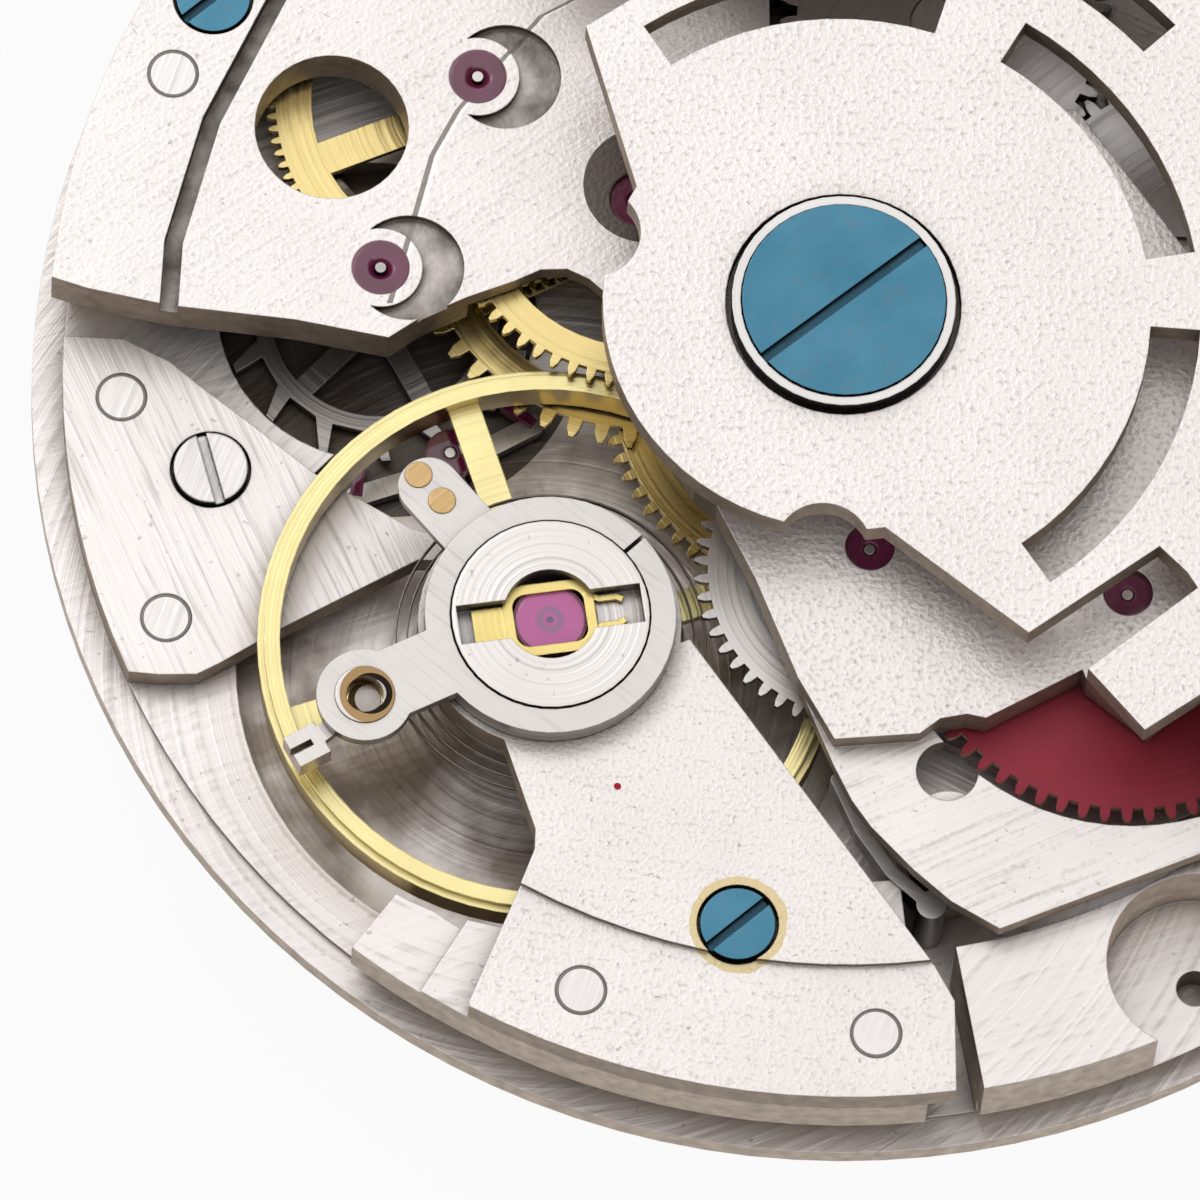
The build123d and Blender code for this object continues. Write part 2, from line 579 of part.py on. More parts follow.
# Places of screws and pins
DOWELS = {
    "train": (scaled(TRAIN_DOWEL_SHARES), BRIDGE_TOP, TRAIN_BRIDGE_LOW),
    "pallet": (scaled(PALLET_DOWEL_SHARES), PALLET_BRIDGE_TOP, DECK_TOP),
    "cock": (scaled(COCK_DOWEL_SHARES), BRIDGE_TOP, COCK_FOOT_LOW),
}
TRAIN_SCREWS = scaled(TRAIN_SCREW_SHARES)
COCK_SCREW = placed(COCK_SCREW_SHARES)
PALLET_SCREW = placed(PALLET_SCREW_SHARES)
BARREL_SCREWS = [point(BODY_RADIUS - 2 * BRIDGE_SCREW_RADIUS, angle) for angle in BARREL_SCREW_ANGLES]
AUTO_FEET = scaled(AUTO_FOOT_SHARES)
AUTO_HIGH_FOOT = placed(AUTO_HIGH_FOOT_SHARES)
AUTO_NEAR_FOOT = placed(AUTO_NEAR_FOOT_SHARES)
CALENDAR_SCREWS = [point(CALENDAR_SCREW_REACH, angle) for angle in CALENDAR_SCREW_ANGLES]
LOWER_JEWELS = [THIRD, ESCAPE, PALLET]
SMALL_BRIDGE_FOOT = point(SMALL_BRIDGE_LENGTH, FOURTH_ANGLE, FOURTH)
WINDOW = placed(WINDOW_SHARES)
WINDOW_END = placed(WINDOW_END_SHARES)
GAP_PIN = placed(GAP_PIN_SHARES)
SHANKS = (
    [(place, BRIDGE_TOP) for place in TRAIN_SCREWS]
    + [(COCK_SCREW, COCK_ARM_TOP), (PALLET_SCREW, PALLET_BRIDGE_TOP)]
    + [(place, BARREL_BRIDGE_TOP) for place in BARREL_SCREWS]
)
DATE_IDLER = point(HOUR_WHEEL_RADIUS + DATE_IDLER_RADIUS, DATE_WORK_ANGLE)
DATE_WHEEL = point(DATE_IDLER_PINION_RADIUS + DATE_WHEEL_RADIUS, DATE_WORK_ANGLE, DATE_IDLER)
SETTING_LEVER_PIVOT = (LEVER_OFFSET, CLUTCH_START)
SETTING_LEVER_END = (0.7 * CLUTCH_RADIUS, WINDING_PINION_Y + WINDING_PINION_LENGTH / 4)
YOKE_PIVOT = (-LEVER_OFFSET, CLUTCH_START - CLUTCH_LENGTH)
YOKE_END = (-0.7 * CLUTCH_RADIUS, CLUTCH_START + CLUTCH_LENGTH / 2)
JUMPER_PIVOT = point(JUMPER_PIVOT_REACH, 178)
JUMPER_END = point(JUMPER_END_REACH, 172)


def rim_wall(ring, inner, start, end, top):
    # A stretch of the turned ring that stands above the deck
    return ring & sector(inner, MOVEMENT_RADIUS, start, end, FLANGE_TOP, top)


def stem_bore(radius, start, end):
    return Pos(0, (start + end) / 2, STEM_HEIGHT) * Rot(90, 0, 0) * Cylinder(radius, end - start)


def block(x_low, x_top, y_low, y_top, low, top):
    size = Box(x_top - x_low, y_top - y_low, top - low)
    return Pos((x_low + x_top) / 2, (y_low + y_top) / 2, (low + top) / 2) * size


def main_plate():
    body = rod(SEAT_RADIUS, 0, FLANGE_LOW) + rod(MOVEMENT_RADIUS, FLANGE_LOW, FLANGE_TOP)
    body += rod(GROOVE_RADIUS, FLANGE_TOP, DECK_TOP)
    ring = rod(GROOVE_RADIUS, FLANGE_TOP, GROOVE_TOP) + rod(BODY_RADIUS, GROOVE_TOP, CLAMP_WALL_TOP)
    for share, (start, end, top) in zip(RIM_WALL_SHARES, RIM_WALLS):
        body += rim_wall(ring, share * BODY_RADIUS, start, end, top)
    for foot in AUTO_FEET:
        body += rod(1.25 * BRIDGE_SCREW_RADIUS, FLOOR_TOP, AUTO_PLATE_LOW, foot)
    body += rod(SMALL_BRIDGE_WIDTH / 2, FLOOR_TOP, SMALL_BRIDGE_LOW, SMALL_BRIDGE_FOOT)
    body -= tube(DATE_RING_OUTER + SIDE_CLEARANCE, DATE_RING_INNER - DATE_TOOTH_DEPTH - SIDE_CLEARANCE,
                 -OVERRUN, DATE_RING_TOP + SIDE_CLEARANCE / 2)
    body -= rod(DATE_COVER_RADIUS + PIVOT_CLEARANCE, -OVERRUN, DATE_COVER_THICKNESS)
    body -= below(BARREL, BARREL_RADIUS + 2.5 * SIDE_CLEARANCE, FLOOR_TOP)
    body -= rod(BALANCE_RECESS_RADIUS, RECESS_FLOOR, COCK_FOOT_LOW, BALANCE)
    body -= below(ESCAPE, ESCAPE_WHEEL_RADIUS + SIDE_CLEARANCE, RECESS_FLOOR)
    body -= below(CENTRE, CENTRE_PINION_RADIUS + 3 * SIDE_CLEARANCE, FLOOR_TOP)
    lever = capsule(PALLET, BALANCE, 4 * PIVOT_POCKET, RECESS_FLOOR, DECK_TOP + OVERRUN)
    body -= lever
    for centre in LOWER_JEWELS:
        body -= jewel_hole(centre)
    for centre, radius in ((CENTRE, HOUR_WHEEL_RADIUS), (MINUTE_WHEEL, MINUTE_WHEEL_RADIUS),
                           (DATE_IDLER, DATE_IDLER_RADIUS), (DATE_WHEEL, DATE_FINGER_REACH)):
        body -= rod(radius + 1.5 * SIDE_CLEARANCE, -OVERRUN, DIAL_POCKET_TOP, centre)
    body -= rod(SETTING_WHEEL_RADIUS + SIDE_CLEARANCE, -OVERRUN, SETTING_WHEEL_TOP + SIDE_CLEARANCE, SETTING_WHEEL)
    for centre in (MINUTE_WHEEL, DATE_IDLER, DATE_WHEEL):
        body += rod(STUD_RADIUS, LEVER_LOW, DIAL_POCKET_TOP, centre)
    body += rod(STUD_RADIUS, LEVER_LOW, SETTING_WHEEL_TOP + SIDE_CLEARANCE, SETTING_WHEEL)
    for a, b in ((SETTING_LEVER_PIVOT, SETTING_LEVER_END), (YOKE_PIVOT, YOKE_END), (JUMPER_PIVOT, JUMPER_END)):
        body -= capsule(a, b, LEVER_WIDTH + 6 * SIDE_CLEARANCE, -OVERRUN, LEVER_TOP + SIDE_CLEARANCE)
        body += rod(STUD_RADIUS, LEVER_LOW, LEVER_TOP + SIDE_CLEARANCE, a)
    pinion_room = WINDING_PINION_RADIUS + 2 * SIDE_CLEARANCE
    body -= block(-pinion_room, pinion_room, CLUTCH_START - 1.1 * CLUTCH_LENGTH,
                  WINDING_PINION_Y + WINDING_PINION_LENGTH / 2 + SIDE_CLEARANCE, LEVER_LOW, MOVEMENT_RADIUS)
    body -= stem_bore(STEM_RADIUS + PIVOT_CLEARANCE, WINDING_PINION_Y, STEM_END)
    body -= stem_bore(STEM_RADIUS + PIVOT_CLEARANCE, STEM_TIP - SIDE_CLEARANCE, CLUTCH_START)
    body -= stem_bore(STEM_JOURNAL_RADIUS + PIVOT_CLEARANCE, STEM_JOURNAL_START - SIDE_CLEARANCE, STEM_END)
    body -= rod(CENTRE_TUBE_RADIUS + PIVOT_CLEARANCE, -OVERRUN, DECK_TOP)
    body -= rod(SHOCK_LOWER_RADIUS, -OVERRUN, DECK_TOP, BALANCE)
    body -= below(CLAMP, CLAMP_RECESS_RADIUS, CLAMP_RECESS_FLOOR)
    body -= rod(CLAMP_THREAD_RADIUS, FLANGE_TOP, CLAMP_RECESS_FLOOR, CLAMP)
    for angle in DIAL_FEET_ANGLES:
        body -= rod(DIAL_FOOT_HOLE, -OVERRUN, FLANGE_LOW, point(SEAT_RADIUS - DIAL_FEET_STEP, angle))
    for place in CALENDAR_SCREWS:
        body -= rod(BRIDGE_SCREW_SHANK, -OVERRUN, CALENDAR_SCREW_TOP, place)
    for solid in hardware_holes():
        body -= solid
    return body


# Hardware that joins the bridges to the plate
def hardware_holes():
    holes = [rod(DOWEL_RADIUS, low - DOWEL_DEPTH, top + OVERRUN, place)
             for places, top, low in DOWELS.values() for place in places]
    depth = SCREW_LENGTH + SCREW_HEAD_HEIGHT + OVERRUN
    holes += [rod(BRIDGE_SCREW_SHANK + HOLE_CLEARANCE, top - depth, top, place) for place, top in SHANKS]
    holes.append(rod(SMALL_SCREW_RADIUS / 2, DECK_TOP, SMALL_BRIDGE_TOP, SMALL_BRIDGE_FOOT))
    return holes


def head_seat(place, top):
    seat = rod(BRIDGE_SCREW_RADIUS + 2 * HOLE_CLEARANCE, top - SCREW_HEAD_HEIGHT, top + OVERRUN, place)
    return seat + rod(BRIDGE_SCREW_SHANK + HOLE_CLEARANCE, 0, top, place)


def jewel_hole(centre):
    return rod(JEWEL_RADIUS, FLOOR_TOP - JEWEL_THICKNESS, MOVEMENT_RADIUS / 2, centre) + rod(
        PIVOT_RADIUS + PIVOT_CLEARANCE, FLOOR_TOP - JEWEL_THICKNESS - OVERRUN, FLOOR_TOP, centre)


def lower_jewel(centre):
    return tube(JEWEL_RADIUS, PIVOT_RADIUS + PIVOT_CLEARANCE, FLOOR_TOP - JEWEL_THICKNESS, FLOOR_TOP, centre)


def hardware():
    blue = [slotted_screw(place, BRIDGE_TOP, BRIDGE_SCREW_RADIUS, SCREW_HEAD_HEIGHT, BRIDGE_SCREW_SHANK,
                          SCREW_LENGTH, 40) for place in TRAIN_SCREWS]
    blue.append(slotted_screw(COCK_SCREW, COCK_ARM_TOP, BRIDGE_SCREW_RADIUS, SCREW_HEAD_HEIGHT,
                              BRIDGE_SCREW_SHANK, SCREW_LENGTH, 40))
    for place in BARREL_SCREWS:
        blue.append(slotted_screw(place, BARREL_BRIDGE_TOP, BRIDGE_SCREW_RADIUS, SCREW_HEAD_HEIGHT,
                                  BRIDGE_SCREW_SHANK, SCREW_LENGTH, 70))
    silver = slotted_screw(PALLET_SCREW, PALLET_BRIDGE_TOP + OVERRUN / 2, BRIDGE_SCREW_RADIUS, SCREW_HEAD_HEIGHT,
                           BRIDGE_SCREW_SHANK, SCREW_LENGTH / 2, 105)
    seat = SMALL_BRIDGE_LOW + SIDE_CLEARANCE / 2
    small = rod(SMALL_SCREW_RADIUS, seat, SMALL_BRIDGE_TOP, SMALL_BRIDGE_FOOT)
    small += rod(SMALL_SCREW_RADIUS / 2, DECK_TOP, SMALL_BRIDGE_TOP, SMALL_BRIDGE_FOOT)
    pins = [rod(DOWEL_RADIUS, low - DOWEL_DEPTH, top, place)
            for places, top, low in DOWELS.values() for place in places]
    return {"bridge_screws": group(blue), "silver_screws": group([silver, small]), "dowel_pins": group(pins)}


# Bridges
def train_bridge():
    body = plate(scaled(TRAIN_BRIDGE_SHARES), TRAIN_BRIDGE_LOW, BRIDGE_TOP)
    body &= rod(BODY_RADIUS, 0, MOVEMENT_RADIUS)
    body -= rod(ROTOR_GEAR_RADIUS + 3 * SIDE_CLEARANCE, ROTOR_GEAR_RECESS, MOVEMENT_RADIUS)
    body -= rod(THIRD_WHEEL_RADIUS + 2.5 * SIDE_CLEARANCE, 0, TRAIN_POCKET_TOP, THIRD)
    body -= rod(FOURTH_PINION_RADIUS + 2 * SIDE_CLEARANCE, 0, TRAIN_POCKET_TOP, FOURTH)
    body -= rod(WINDOW_RADIUS, 0, MOVEMENT_RADIUS, WINDOW)
    for centre in (FOURTH, ESCAPE):
        crescent = rod(JEWEL_COLLAR_RADIUS + CRESCENT_SHIFT / 2, BRIDGE_TOP - CRESCENT_DEPTH, MOVEMENT_RADIUS,
                       (centre[0] + CRESCENT_SHIFT, centre[1]))
        body -= crescent - rod(JEWEL_COLLAR_RADIUS, 0, MOVEMENT_RADIUS, centre)
        body -= jewel_seat(centre, BRIDGE_TOP)
    body -= rod(JEWEL_RADIUS, ROTOR_GEAR_RECESS - OVERRUN, MOVEMENT_RADIUS, THIRD)
    body -= rod(ARBOR_RADIUS + SIDE_CLEARANCE, 0, MOVEMENT_RADIUS, THIRD)
    for start, end in zip(scaled(GROOVE_SHARES), scaled(GROOVE_SHARES)[1:]):
        body -= capsule(start, end, GROOVE_WIDTH, BRIDGE_TOP - GROOVE_DEPTH, MOVEMENT_RADIUS)
    body -= rod(ROTOR_POST_RADIUS, POST_LOW, MOVEMENT_RADIUS)
    body -= rod(ARBOR_RADIUS + SIDE_CLEARANCE, 0, POST_LOW)
    for place in TRAIN_SCREWS:
        body -= head_seat(place, BRIDGE_TOP)
    for place in DOWELS["train"][0]:
        body -= rod(DOWEL_RADIUS, 0, MOVEMENT_RADIUS, place)
    return body


def pallet_bridge():
    body = plate(scaled(PALLET_BRIDGE_SHARES), DECK_TOP, PALLET_BRIDGE_TOP)
    body &= rod(GROOVE_RADIUS, 0, MOVEMENT_RADIUS)
    body -= rod(PALLET_JEWEL_RADIUS, 0, MOVEMENT_RADIUS, PALLET)
    body -= rod(ESCAPE_PINION_RADIUS + 2 * SIDE_CLEARANCE, 0, MOVEMENT_RADIUS, ESCAPE)
    body -= head_seat(PALLET_SCREW, PALLET_BRIDGE_TOP)
    for place in DOWELS["pallet"][0]:
        body -= rod(DOWEL_RADIUS, 0, MOVEMENT_RADIUS, place)
    return body


def small_bridge():
    # Thin bar from a pillar on the plate to the foot of the fourth arbor
    body = capsule(FOURTH, SMALL_BRIDGE_FOOT, SMALL_BRIDGE_WIDTH, SMALL_BRIDGE_LOW, SMALL_BRIDGE_TOP)
    body -= rod(PIVOT_RADIUS + PIVOT_CLEARANCE, 0, MOVEMENT_RADIUS, FOURTH)
    body -= rod(SMALL_SCREW_RADIUS / 2, 0, MOVEMENT_RADIUS, SMALL_BRIDGE_FOOT)
    return body - rod(SMALL_SCREW_RADIUS, SMALL_BRIDGE_LOW + SIDE_CLEARANCE / 2, MOVEMENT_RADIUS, SMALL_BRIDGE_FOOT)


def balance_cock():
    outline = scaled(COCK_SHARES)
    head = rod(1.05 * REGULATOR_OUTER, COCK_ARM_LOW, COCK_ARM_TOP, BALANCE)
    arm = plate(outline, COCK_ARM_LOW, COCK_ARM_TOP) & rod(COCK_STEP_RADIUS, 0, MOVEMENT_RADIUS)
    foot = plate(outline, COCK_FOOT_LOW, BRIDGE_TOP)
    foot &= tube(BODY_RADIUS, COCK_FOOT_SHARE * BODY_RADIUS, 0, MOVEMENT_RADIUS)
    foot -=rod(BALANCE_RADIUS + SIDE_CLEARANCE, 0, COCK_ARM_LOW, BALANCE)
    body = head + arm + foot
    body -= rod(SHOCK_BORE, 0, MOVEMENT_RADIUS, BALANCE)
    body -= head_seat(COCK_SCREW, COCK_ARM_TOP)
    for place in DOWELS["cock"][0]:
        body -= rod(DOWEL_RADIUS, 0, MOVEMENT_RADIUS, place)
    return body


def barrel_bridge():
    body = plate(scaled(BARREL_BRIDGE_SHARES), BARREL_BRIDGE_LOW, BARREL_BRIDGE_TOP)
    body &= rod(BODY_RADIUS, 0, MOVEMENT_RADIUS)
    body -= rod(BARREL_ARBOR_RADIUS + PIVOT_CLEARANCE, 0, MOVEMENT_RADIUS, BARREL)
    body -= rod(CROWN_STUD_RADIUS, BARREL_BRIDGE_TOP - OVERRUN, MOVEMENT_RADIUS, CROWN_WHEEL)
    body -= rod(CENTRE_WHEEL_RADIUS, 0, BARREL_BRIDGE_LOW, CENTRE)
    body -= block(0, WINDING_PINION_RADIUS + 3 * SIDE_CLEARANCE, WINDING_PINION_START - SIDE_CLEARANCE,
                  WINDING_PINION_Y + WINDING_PINION_LENGTH, 0, MOVEMENT_RADIUS)
    for place in BARREL_SCREWS:
        body -= head_seat(place, BARREL_BRIDGE_TOP)
    return body


def automatic_bridge():
    upper = plate(scaled(AUTO_UPPER_SHARES), AUTO_BRIDGE_LOW, AUTO_BRIDGE_TOP)
    lower = plate(scaled(AUTO_LOWER_SHARES), AUTO_BRIDGE_LOW, AUTO_STEP_TOP)
    lower -= rod(RED_WHEEL_RADIUS + 3 * SIDE_CLEARANCE, 0, MOVEMENT_RADIUS, RED_WHEEL)
    lower -= rod(WINDOW_END_RADIUS, 0, MOVEMENT_RADIUS, WINDOW_END)
    body = upper + lower
    for foot in AUTO_FEET + [AUTO_HIGH_FOOT]:
        body += rod(1.1 * BRIDGE_SCREW_RADIUS, BARREL_BRIDGE_TOP, AUTO_BRIDGE_LOW + OVERRUN, foot)
    body += rod(BRIDGE_SCREW_RADIUS, BRIDGE_TOP, AUTO_BRIDGE_LOW + OVERRUN, AUTO_NEAR_FOOT)
    body -= rod(AUTO_BORE, 0, MOVEMENT_RADIUS)
    for centre in (RED_WHEEL, STEEL_WHEEL):
        body -= rod(AUTO_JEWEL_RADIUS, 0, MOVEMENT_RADIUS, centre)
    body -= rod(PIVOT_RADIUS + PIVOT_CLEARANCE, 0, AUTO_STEP_TOP, TRANSFER)
    return body


def automatic_plate():
    body = plate(scaled(AUTO_PLATE_SHARES), AUTO_PLATE_LOW, BARREL_BRIDGE_TOP)
    body -= rod(BALANCE_RADIUS + 1.5 * SIDE_CLEARANCE, 0, MOVEMENT_RADIUS, BALANCE)
    for centre in (RED_WHEEL, STEEL_WHEEL, TRANSFER):
        body -= rod(PIVOT_RADIUS + PIVOT_CLEARANCE, 0, MOVEMENT_RADIUS, centre)
    return body


def jewels():
    train = [bridge_jewel(centre, BRIDGE_TOP) for centre in (FOURTH, ESCAPE)]
    train.append(bridge_jewel(THIRD, ROTOR_GEAR_RECESS + JEWEL_THICKNESS - OVERRUN))
    auto_top = AUTO_BRIDGE_TOP - JEWEL_CUP_DEPTH
    auto = [tube(AUTO_JEWEL_RADIUS, PIVOT_RADIUS + PIVOT_CLEARANCE, auto_top - JEWEL_THICKNESS, auto_top, centre)
            for centre in (RED_WHEEL, STEEL_WHEEL)]
    pallet = tube(PALLET_JEWEL_RADIUS, PIVOT_RADIUS + PIVOT_CLEARANCE, DECK_TOP + OVERRUN, PALLET_BRIDGE_TOP, PALLET)
    lower = [lower_jewel(centre) for centre in LOWER_JEWELS]
    return {"train_jewels": group(train), "automatic_jewels": group(auto), "pallet_bridge_jewel": pallet,
            "plate_jewels": group(lower)}


# Regulator, stud carrier and shock settings
def regulator():
    end = point(REGULATOR_ARM_REACH, REGULATOR_ARM_ANGLE, BALANCE)
    body = rod(REGULATOR_OUTER, REGULATOR_LOW, REGULATOR_TOP, BALANCE)
    body += capsule(BALANCE, end, REGULATOR_ARM_WIDTH, REGULATOR_LOW, REGULATOR_TOP)
    body -= rod(REGULATOR_INNER, 0, MOVEMENT_RADIUS, BALANCE)
    for reach in CURB_RIVET_REACHES:
        body -= rod(CURB_RIVET_RADIUS, 0, MOVEMENT_RADIUS, point(reach, REGULATOR_ARM_ANGLE, BALANCE))
    return body


def curb_pins():
    pins = []
    for reach in CURB_RIVET_REACHES:
        place = point(reach, REGULATOR_ARM_ANGLE, BALANCE)
        pins.append(rod(CURB_RIVET_RADIUS, CURB_RIVET_LOW, REGULATOR_TOP + PIVOT_CLEARANCE, place))
    return group(pins)


def stud_carrier():
    low = REGULATOR_TOP + CARRIER_GAP
    boss = point(CARRIER_ARM_REACH, CARRIER_ARM_ANGLE, BALANCE)
    body = rod(REGULATOR_OUTER, low, CARRIER_TOP, BALANCE)
    body += capsule(BALANCE, boss, 1.5 * CARRIER_BOSS_RADIUS, low, CARRIER_TOP)
    body += rod(CARRIER_BOSS_RADIUS, low, CARRIER_TOP, boss)
    body -= rod(REGULATOR_INNER, 0, MOVEMENT_RADIUS, BALANCE)
    body -= rod(EYELET_RADIUS, 0, MOVEMENT_RADIUS, boss)
    outward = (Align.MIN, Align.CENTER, Align.MIN)
    split = Box(2 * REGULATOR_OUTER, CARRIER_SPLIT_WIDTH, MOVEMENT_RADIUS, align=outward)
    return body - Pos(*BALANCE, 0) * Rot(0, 0, CARRIER_SPLIT_ANGLE) * split


def hairspring_stud():
    boss = point(CARRIER_ARM_REACH, CARRIER_ARM_ANGLE, BALANCE)
    eyelet = tube(EYELET_RADIUS, EYELET_BORE, REGULATOR_LOW, CARRIER_TOP + 2 * CARRIER_GAP, boss)
    pin = rod(0.9 * EYELET_BORE, STUD_LOW, REGULATOR_TOP, boss)
    return group([eyelet, pin])


def index_block():
    # Small two-pronged block fixed under the boss of the stud carrier
    low = FORK_BLOCK_LOW
    top = REGULATOR_TOP
    boss = point(CARRIER_ARM_REACH, CARRIER_ARM_ANGLE, BALANCE)
    place = point(FORK_BLOCK_REACH, FORK_BLOCK_ANGLE, BALANCE)
    cube = Pos(*place, (low + top) / 2) * Rot(0, 0, FORK_BLOCK_ANGLE) * Box(
        FORK_BLOCK_SIZE, FORK_BLOCK_SIZE, top - low)
    slot = Pos(*point(FORK_BLOCK_REACH + FORK_BLOCK_SIZE / 3, FORK_BLOCK_ANGLE, BALANCE), top) * Rot(
        0, 0, FORK_BLOCK_ANGLE) * Box(FORK_BLOCK_SIZE, FORK_BLOCK_SIZE / 5, 1.2 * (top - low))
    neck = capsule(boss, place, FORK_BLOCK_SIZE / 2, top - FORK_BLOCK_SIZE / 3, top)
    return (cube + neck) - slot - rod(EYELET_RADIUS, 0, MOVEMENT_RADIUS, boss)


def shock_block():
    body = rod(SETTING_RADIUS, REGULATOR_LOW - 2 * CARRIER_GAP, SETTING_TOP, BALANCE)
    body += rod(SHOCK_BORE, COCK_ARM_LOW, COCK_ARM_TOP + CARRIER_GAP, BALANCE)
    body -= rod(SETTING_BORE, HOLE_JEWEL_LOW, MOVEMENT_RADIUS, BALANCE)
    body -= rod(ARBOR_RADIUS + SIDE_CLEARANCE, 0, MOVEMENT_RADIUS, BALANCE)
    slot = Box(2 * SETTING_RADIUS - OVERRUN, SETTING_SLOT, 2 * SETTING_SLOT_DEPTH)
    return body - Pos(*BALANCE, SETTING_TOP) * Rot(0, 0, SETTING_ANGLE) * slot


def shock_jewels():
    hole = tube(SETTING_BORE, PIVOT_FINE + PIVOT_CLEARANCE, HOLE_JEWEL_LOW, HOLE_JEWEL_TOP, BALANCE)
    cap = rod(CAP_JEWEL_RADIUS, CAP_JEWEL_LOW, CAP_JEWEL_TOP, BALANCE)
    return group([hole, cap])


def lyre_spring():
    # A flat wire loop that lies across the cap jewel, with a tongue at each end
    low = CAP_JEWEL_TOP
    top = low + LYRE_THICKNESS
    loop = tube(CAP_JEWEL_RADIUS, CAP_JEWEL_RADIUS - LYRE_WIDTH, low, top)
    side = Box(0.7 * CAP_JEWEL_RADIUS, LYRE_WIDTH, top - low)
    for way in (1, -1):
        offset = way * (SETTING_RADIUS + CAP_JEWEL_RADIUS) / 2
        loop += Pos(offset, 0, (low + top) / 2) * side
    hook = Box(LYRE_WIDTH, SETTING_SLOT - SIDE_CLEARANCE, top - low)
    loop += Pos(-SETTING_RADIUS + 2 * LYRE_WIDTH, 0, (low + top) / 2) * hook
    join = Box(3 * LYRE_WIDTH, LYRE_WIDTH, top - low)
    loop += Pos(-CAP_JEWEL_RADIUS - 0.3 * LYRE_WIDTH, 0, (low + top) / 2) * join
    loop += Pos(CAP_JEWEL_RADIUS + 0.3 * LYRE_WIDTH, 0, (low + top) / 2) * join
    return Pos(*BALANCE, 0) * Rot(0, 0, SETTING_ANGLE) * loop


def lower_shock():
    setting = tube(SHOCK_LOWER_RADIUS, SETTING_BORE, SHOCK_LOWER_LOW, SHOCK_LOWER_TOP, BALANCE)
    hole = tube(SETTING_BORE, PIVOT_FINE + PIVOT_CLEARANCE, LOWER_HOLE_JEWEL_LOW, SHOCK_LOWER_TOP, BALANCE)
    cap = rod(SETTING_BORE, SHOCK_LOWER_LOW + SIDE_CLEARANCE, LOWER_HOLE_JEWEL_LOW - SIDE_CLEARANCE, BALANCE)
    return {"lower_shock_setting": setting, "lower_shock_jewels": group([hole, cap])}


# Going train
def barrel_parts():
    low = BARREL_LOW
    drum = gear(BARREL_RADIUS, BARREL_TEETH, low, low + BARREL_TOOTH_HEIGHT, BARREL, 0, BARREL_ANGLE + 180)
    drum += rod(BARREL_DRUM_RADIUS, low, BARREL_DRUM_TOP - WHEEL_THICKNESS, BARREL)
    drum -= rod(BARREL_DRUM_RADIUS - 2 * WHEEL_THICKNESS, low + WHEEL_THICKNESS, MOVEMENT_RADIUS, BARREL)
    bore = BARREL_ARBOR_RADIUS + PIVOT_CLEARANCE
    drum -= rod(bore, 0, MOVEMENT_RADIUS, BARREL)
    cover = tube(BARREL_DRUM_RADIUS, bore, BARREL_DRUM_TOP - WHEEL_THICKNESS, BARREL_DRUM_TOP, BARREL)
    shaft = rod(BARREL_ARBOR_RADIUS, FLOOR_TOP, RATCHET_LOW, BARREL)
    shaft += rod(2 * BARREL_ARBOR_RADIUS, low + 2 * WHEEL_THICKNESS, BARREL_DRUM_TOP - 2 * WHEEL_THICKNESS, BARREL)
    spring_low = low + 1.5 * WHEEL_THICKNESS
    spring_top = BARREL_DRUM_TOP - 1.5 * WHEEL_THICKNESS
    edges = spiral_edges(MAINSPRING_INNER, MAINSPRING_PITCH, MAINSPRING_TURNS)
    ribbon = sweep(Plane(origin=(MAINSPRING_INNER, 0, 0), x_dir=(1, 0, 0), z_dir=(0, 1, 0))
                   * Rectangle(MAINSPRING_THICKNESS, spring_top - spring_low), edges)
    spring = Pos(*BARREL, (spring_low + spring_top) / 2) * ribbon
    return {"barrel_drum": drum, "barrel_cover": cover, "barrel_arbor": shaft, "mainspring": spring}


def spiral_edges(inner, pitch, turns):
    # Half turns whose centres lie on one line, so that each runs smoothly into the next
    arcs = []
    for half in range(2 * turns):
        side = 1 if half % 2 == 0 else -1
        start = side * (inner + half * pitch / 2)
        end = -side * (inner + (half + 1) * pitch / 2)
        middle = (start + end) / 2
        arcs.append(ThreePointArc((start, 0), (middle, side * abs(end - start) / 2), (end, 0)))
    return Wire(arcs)


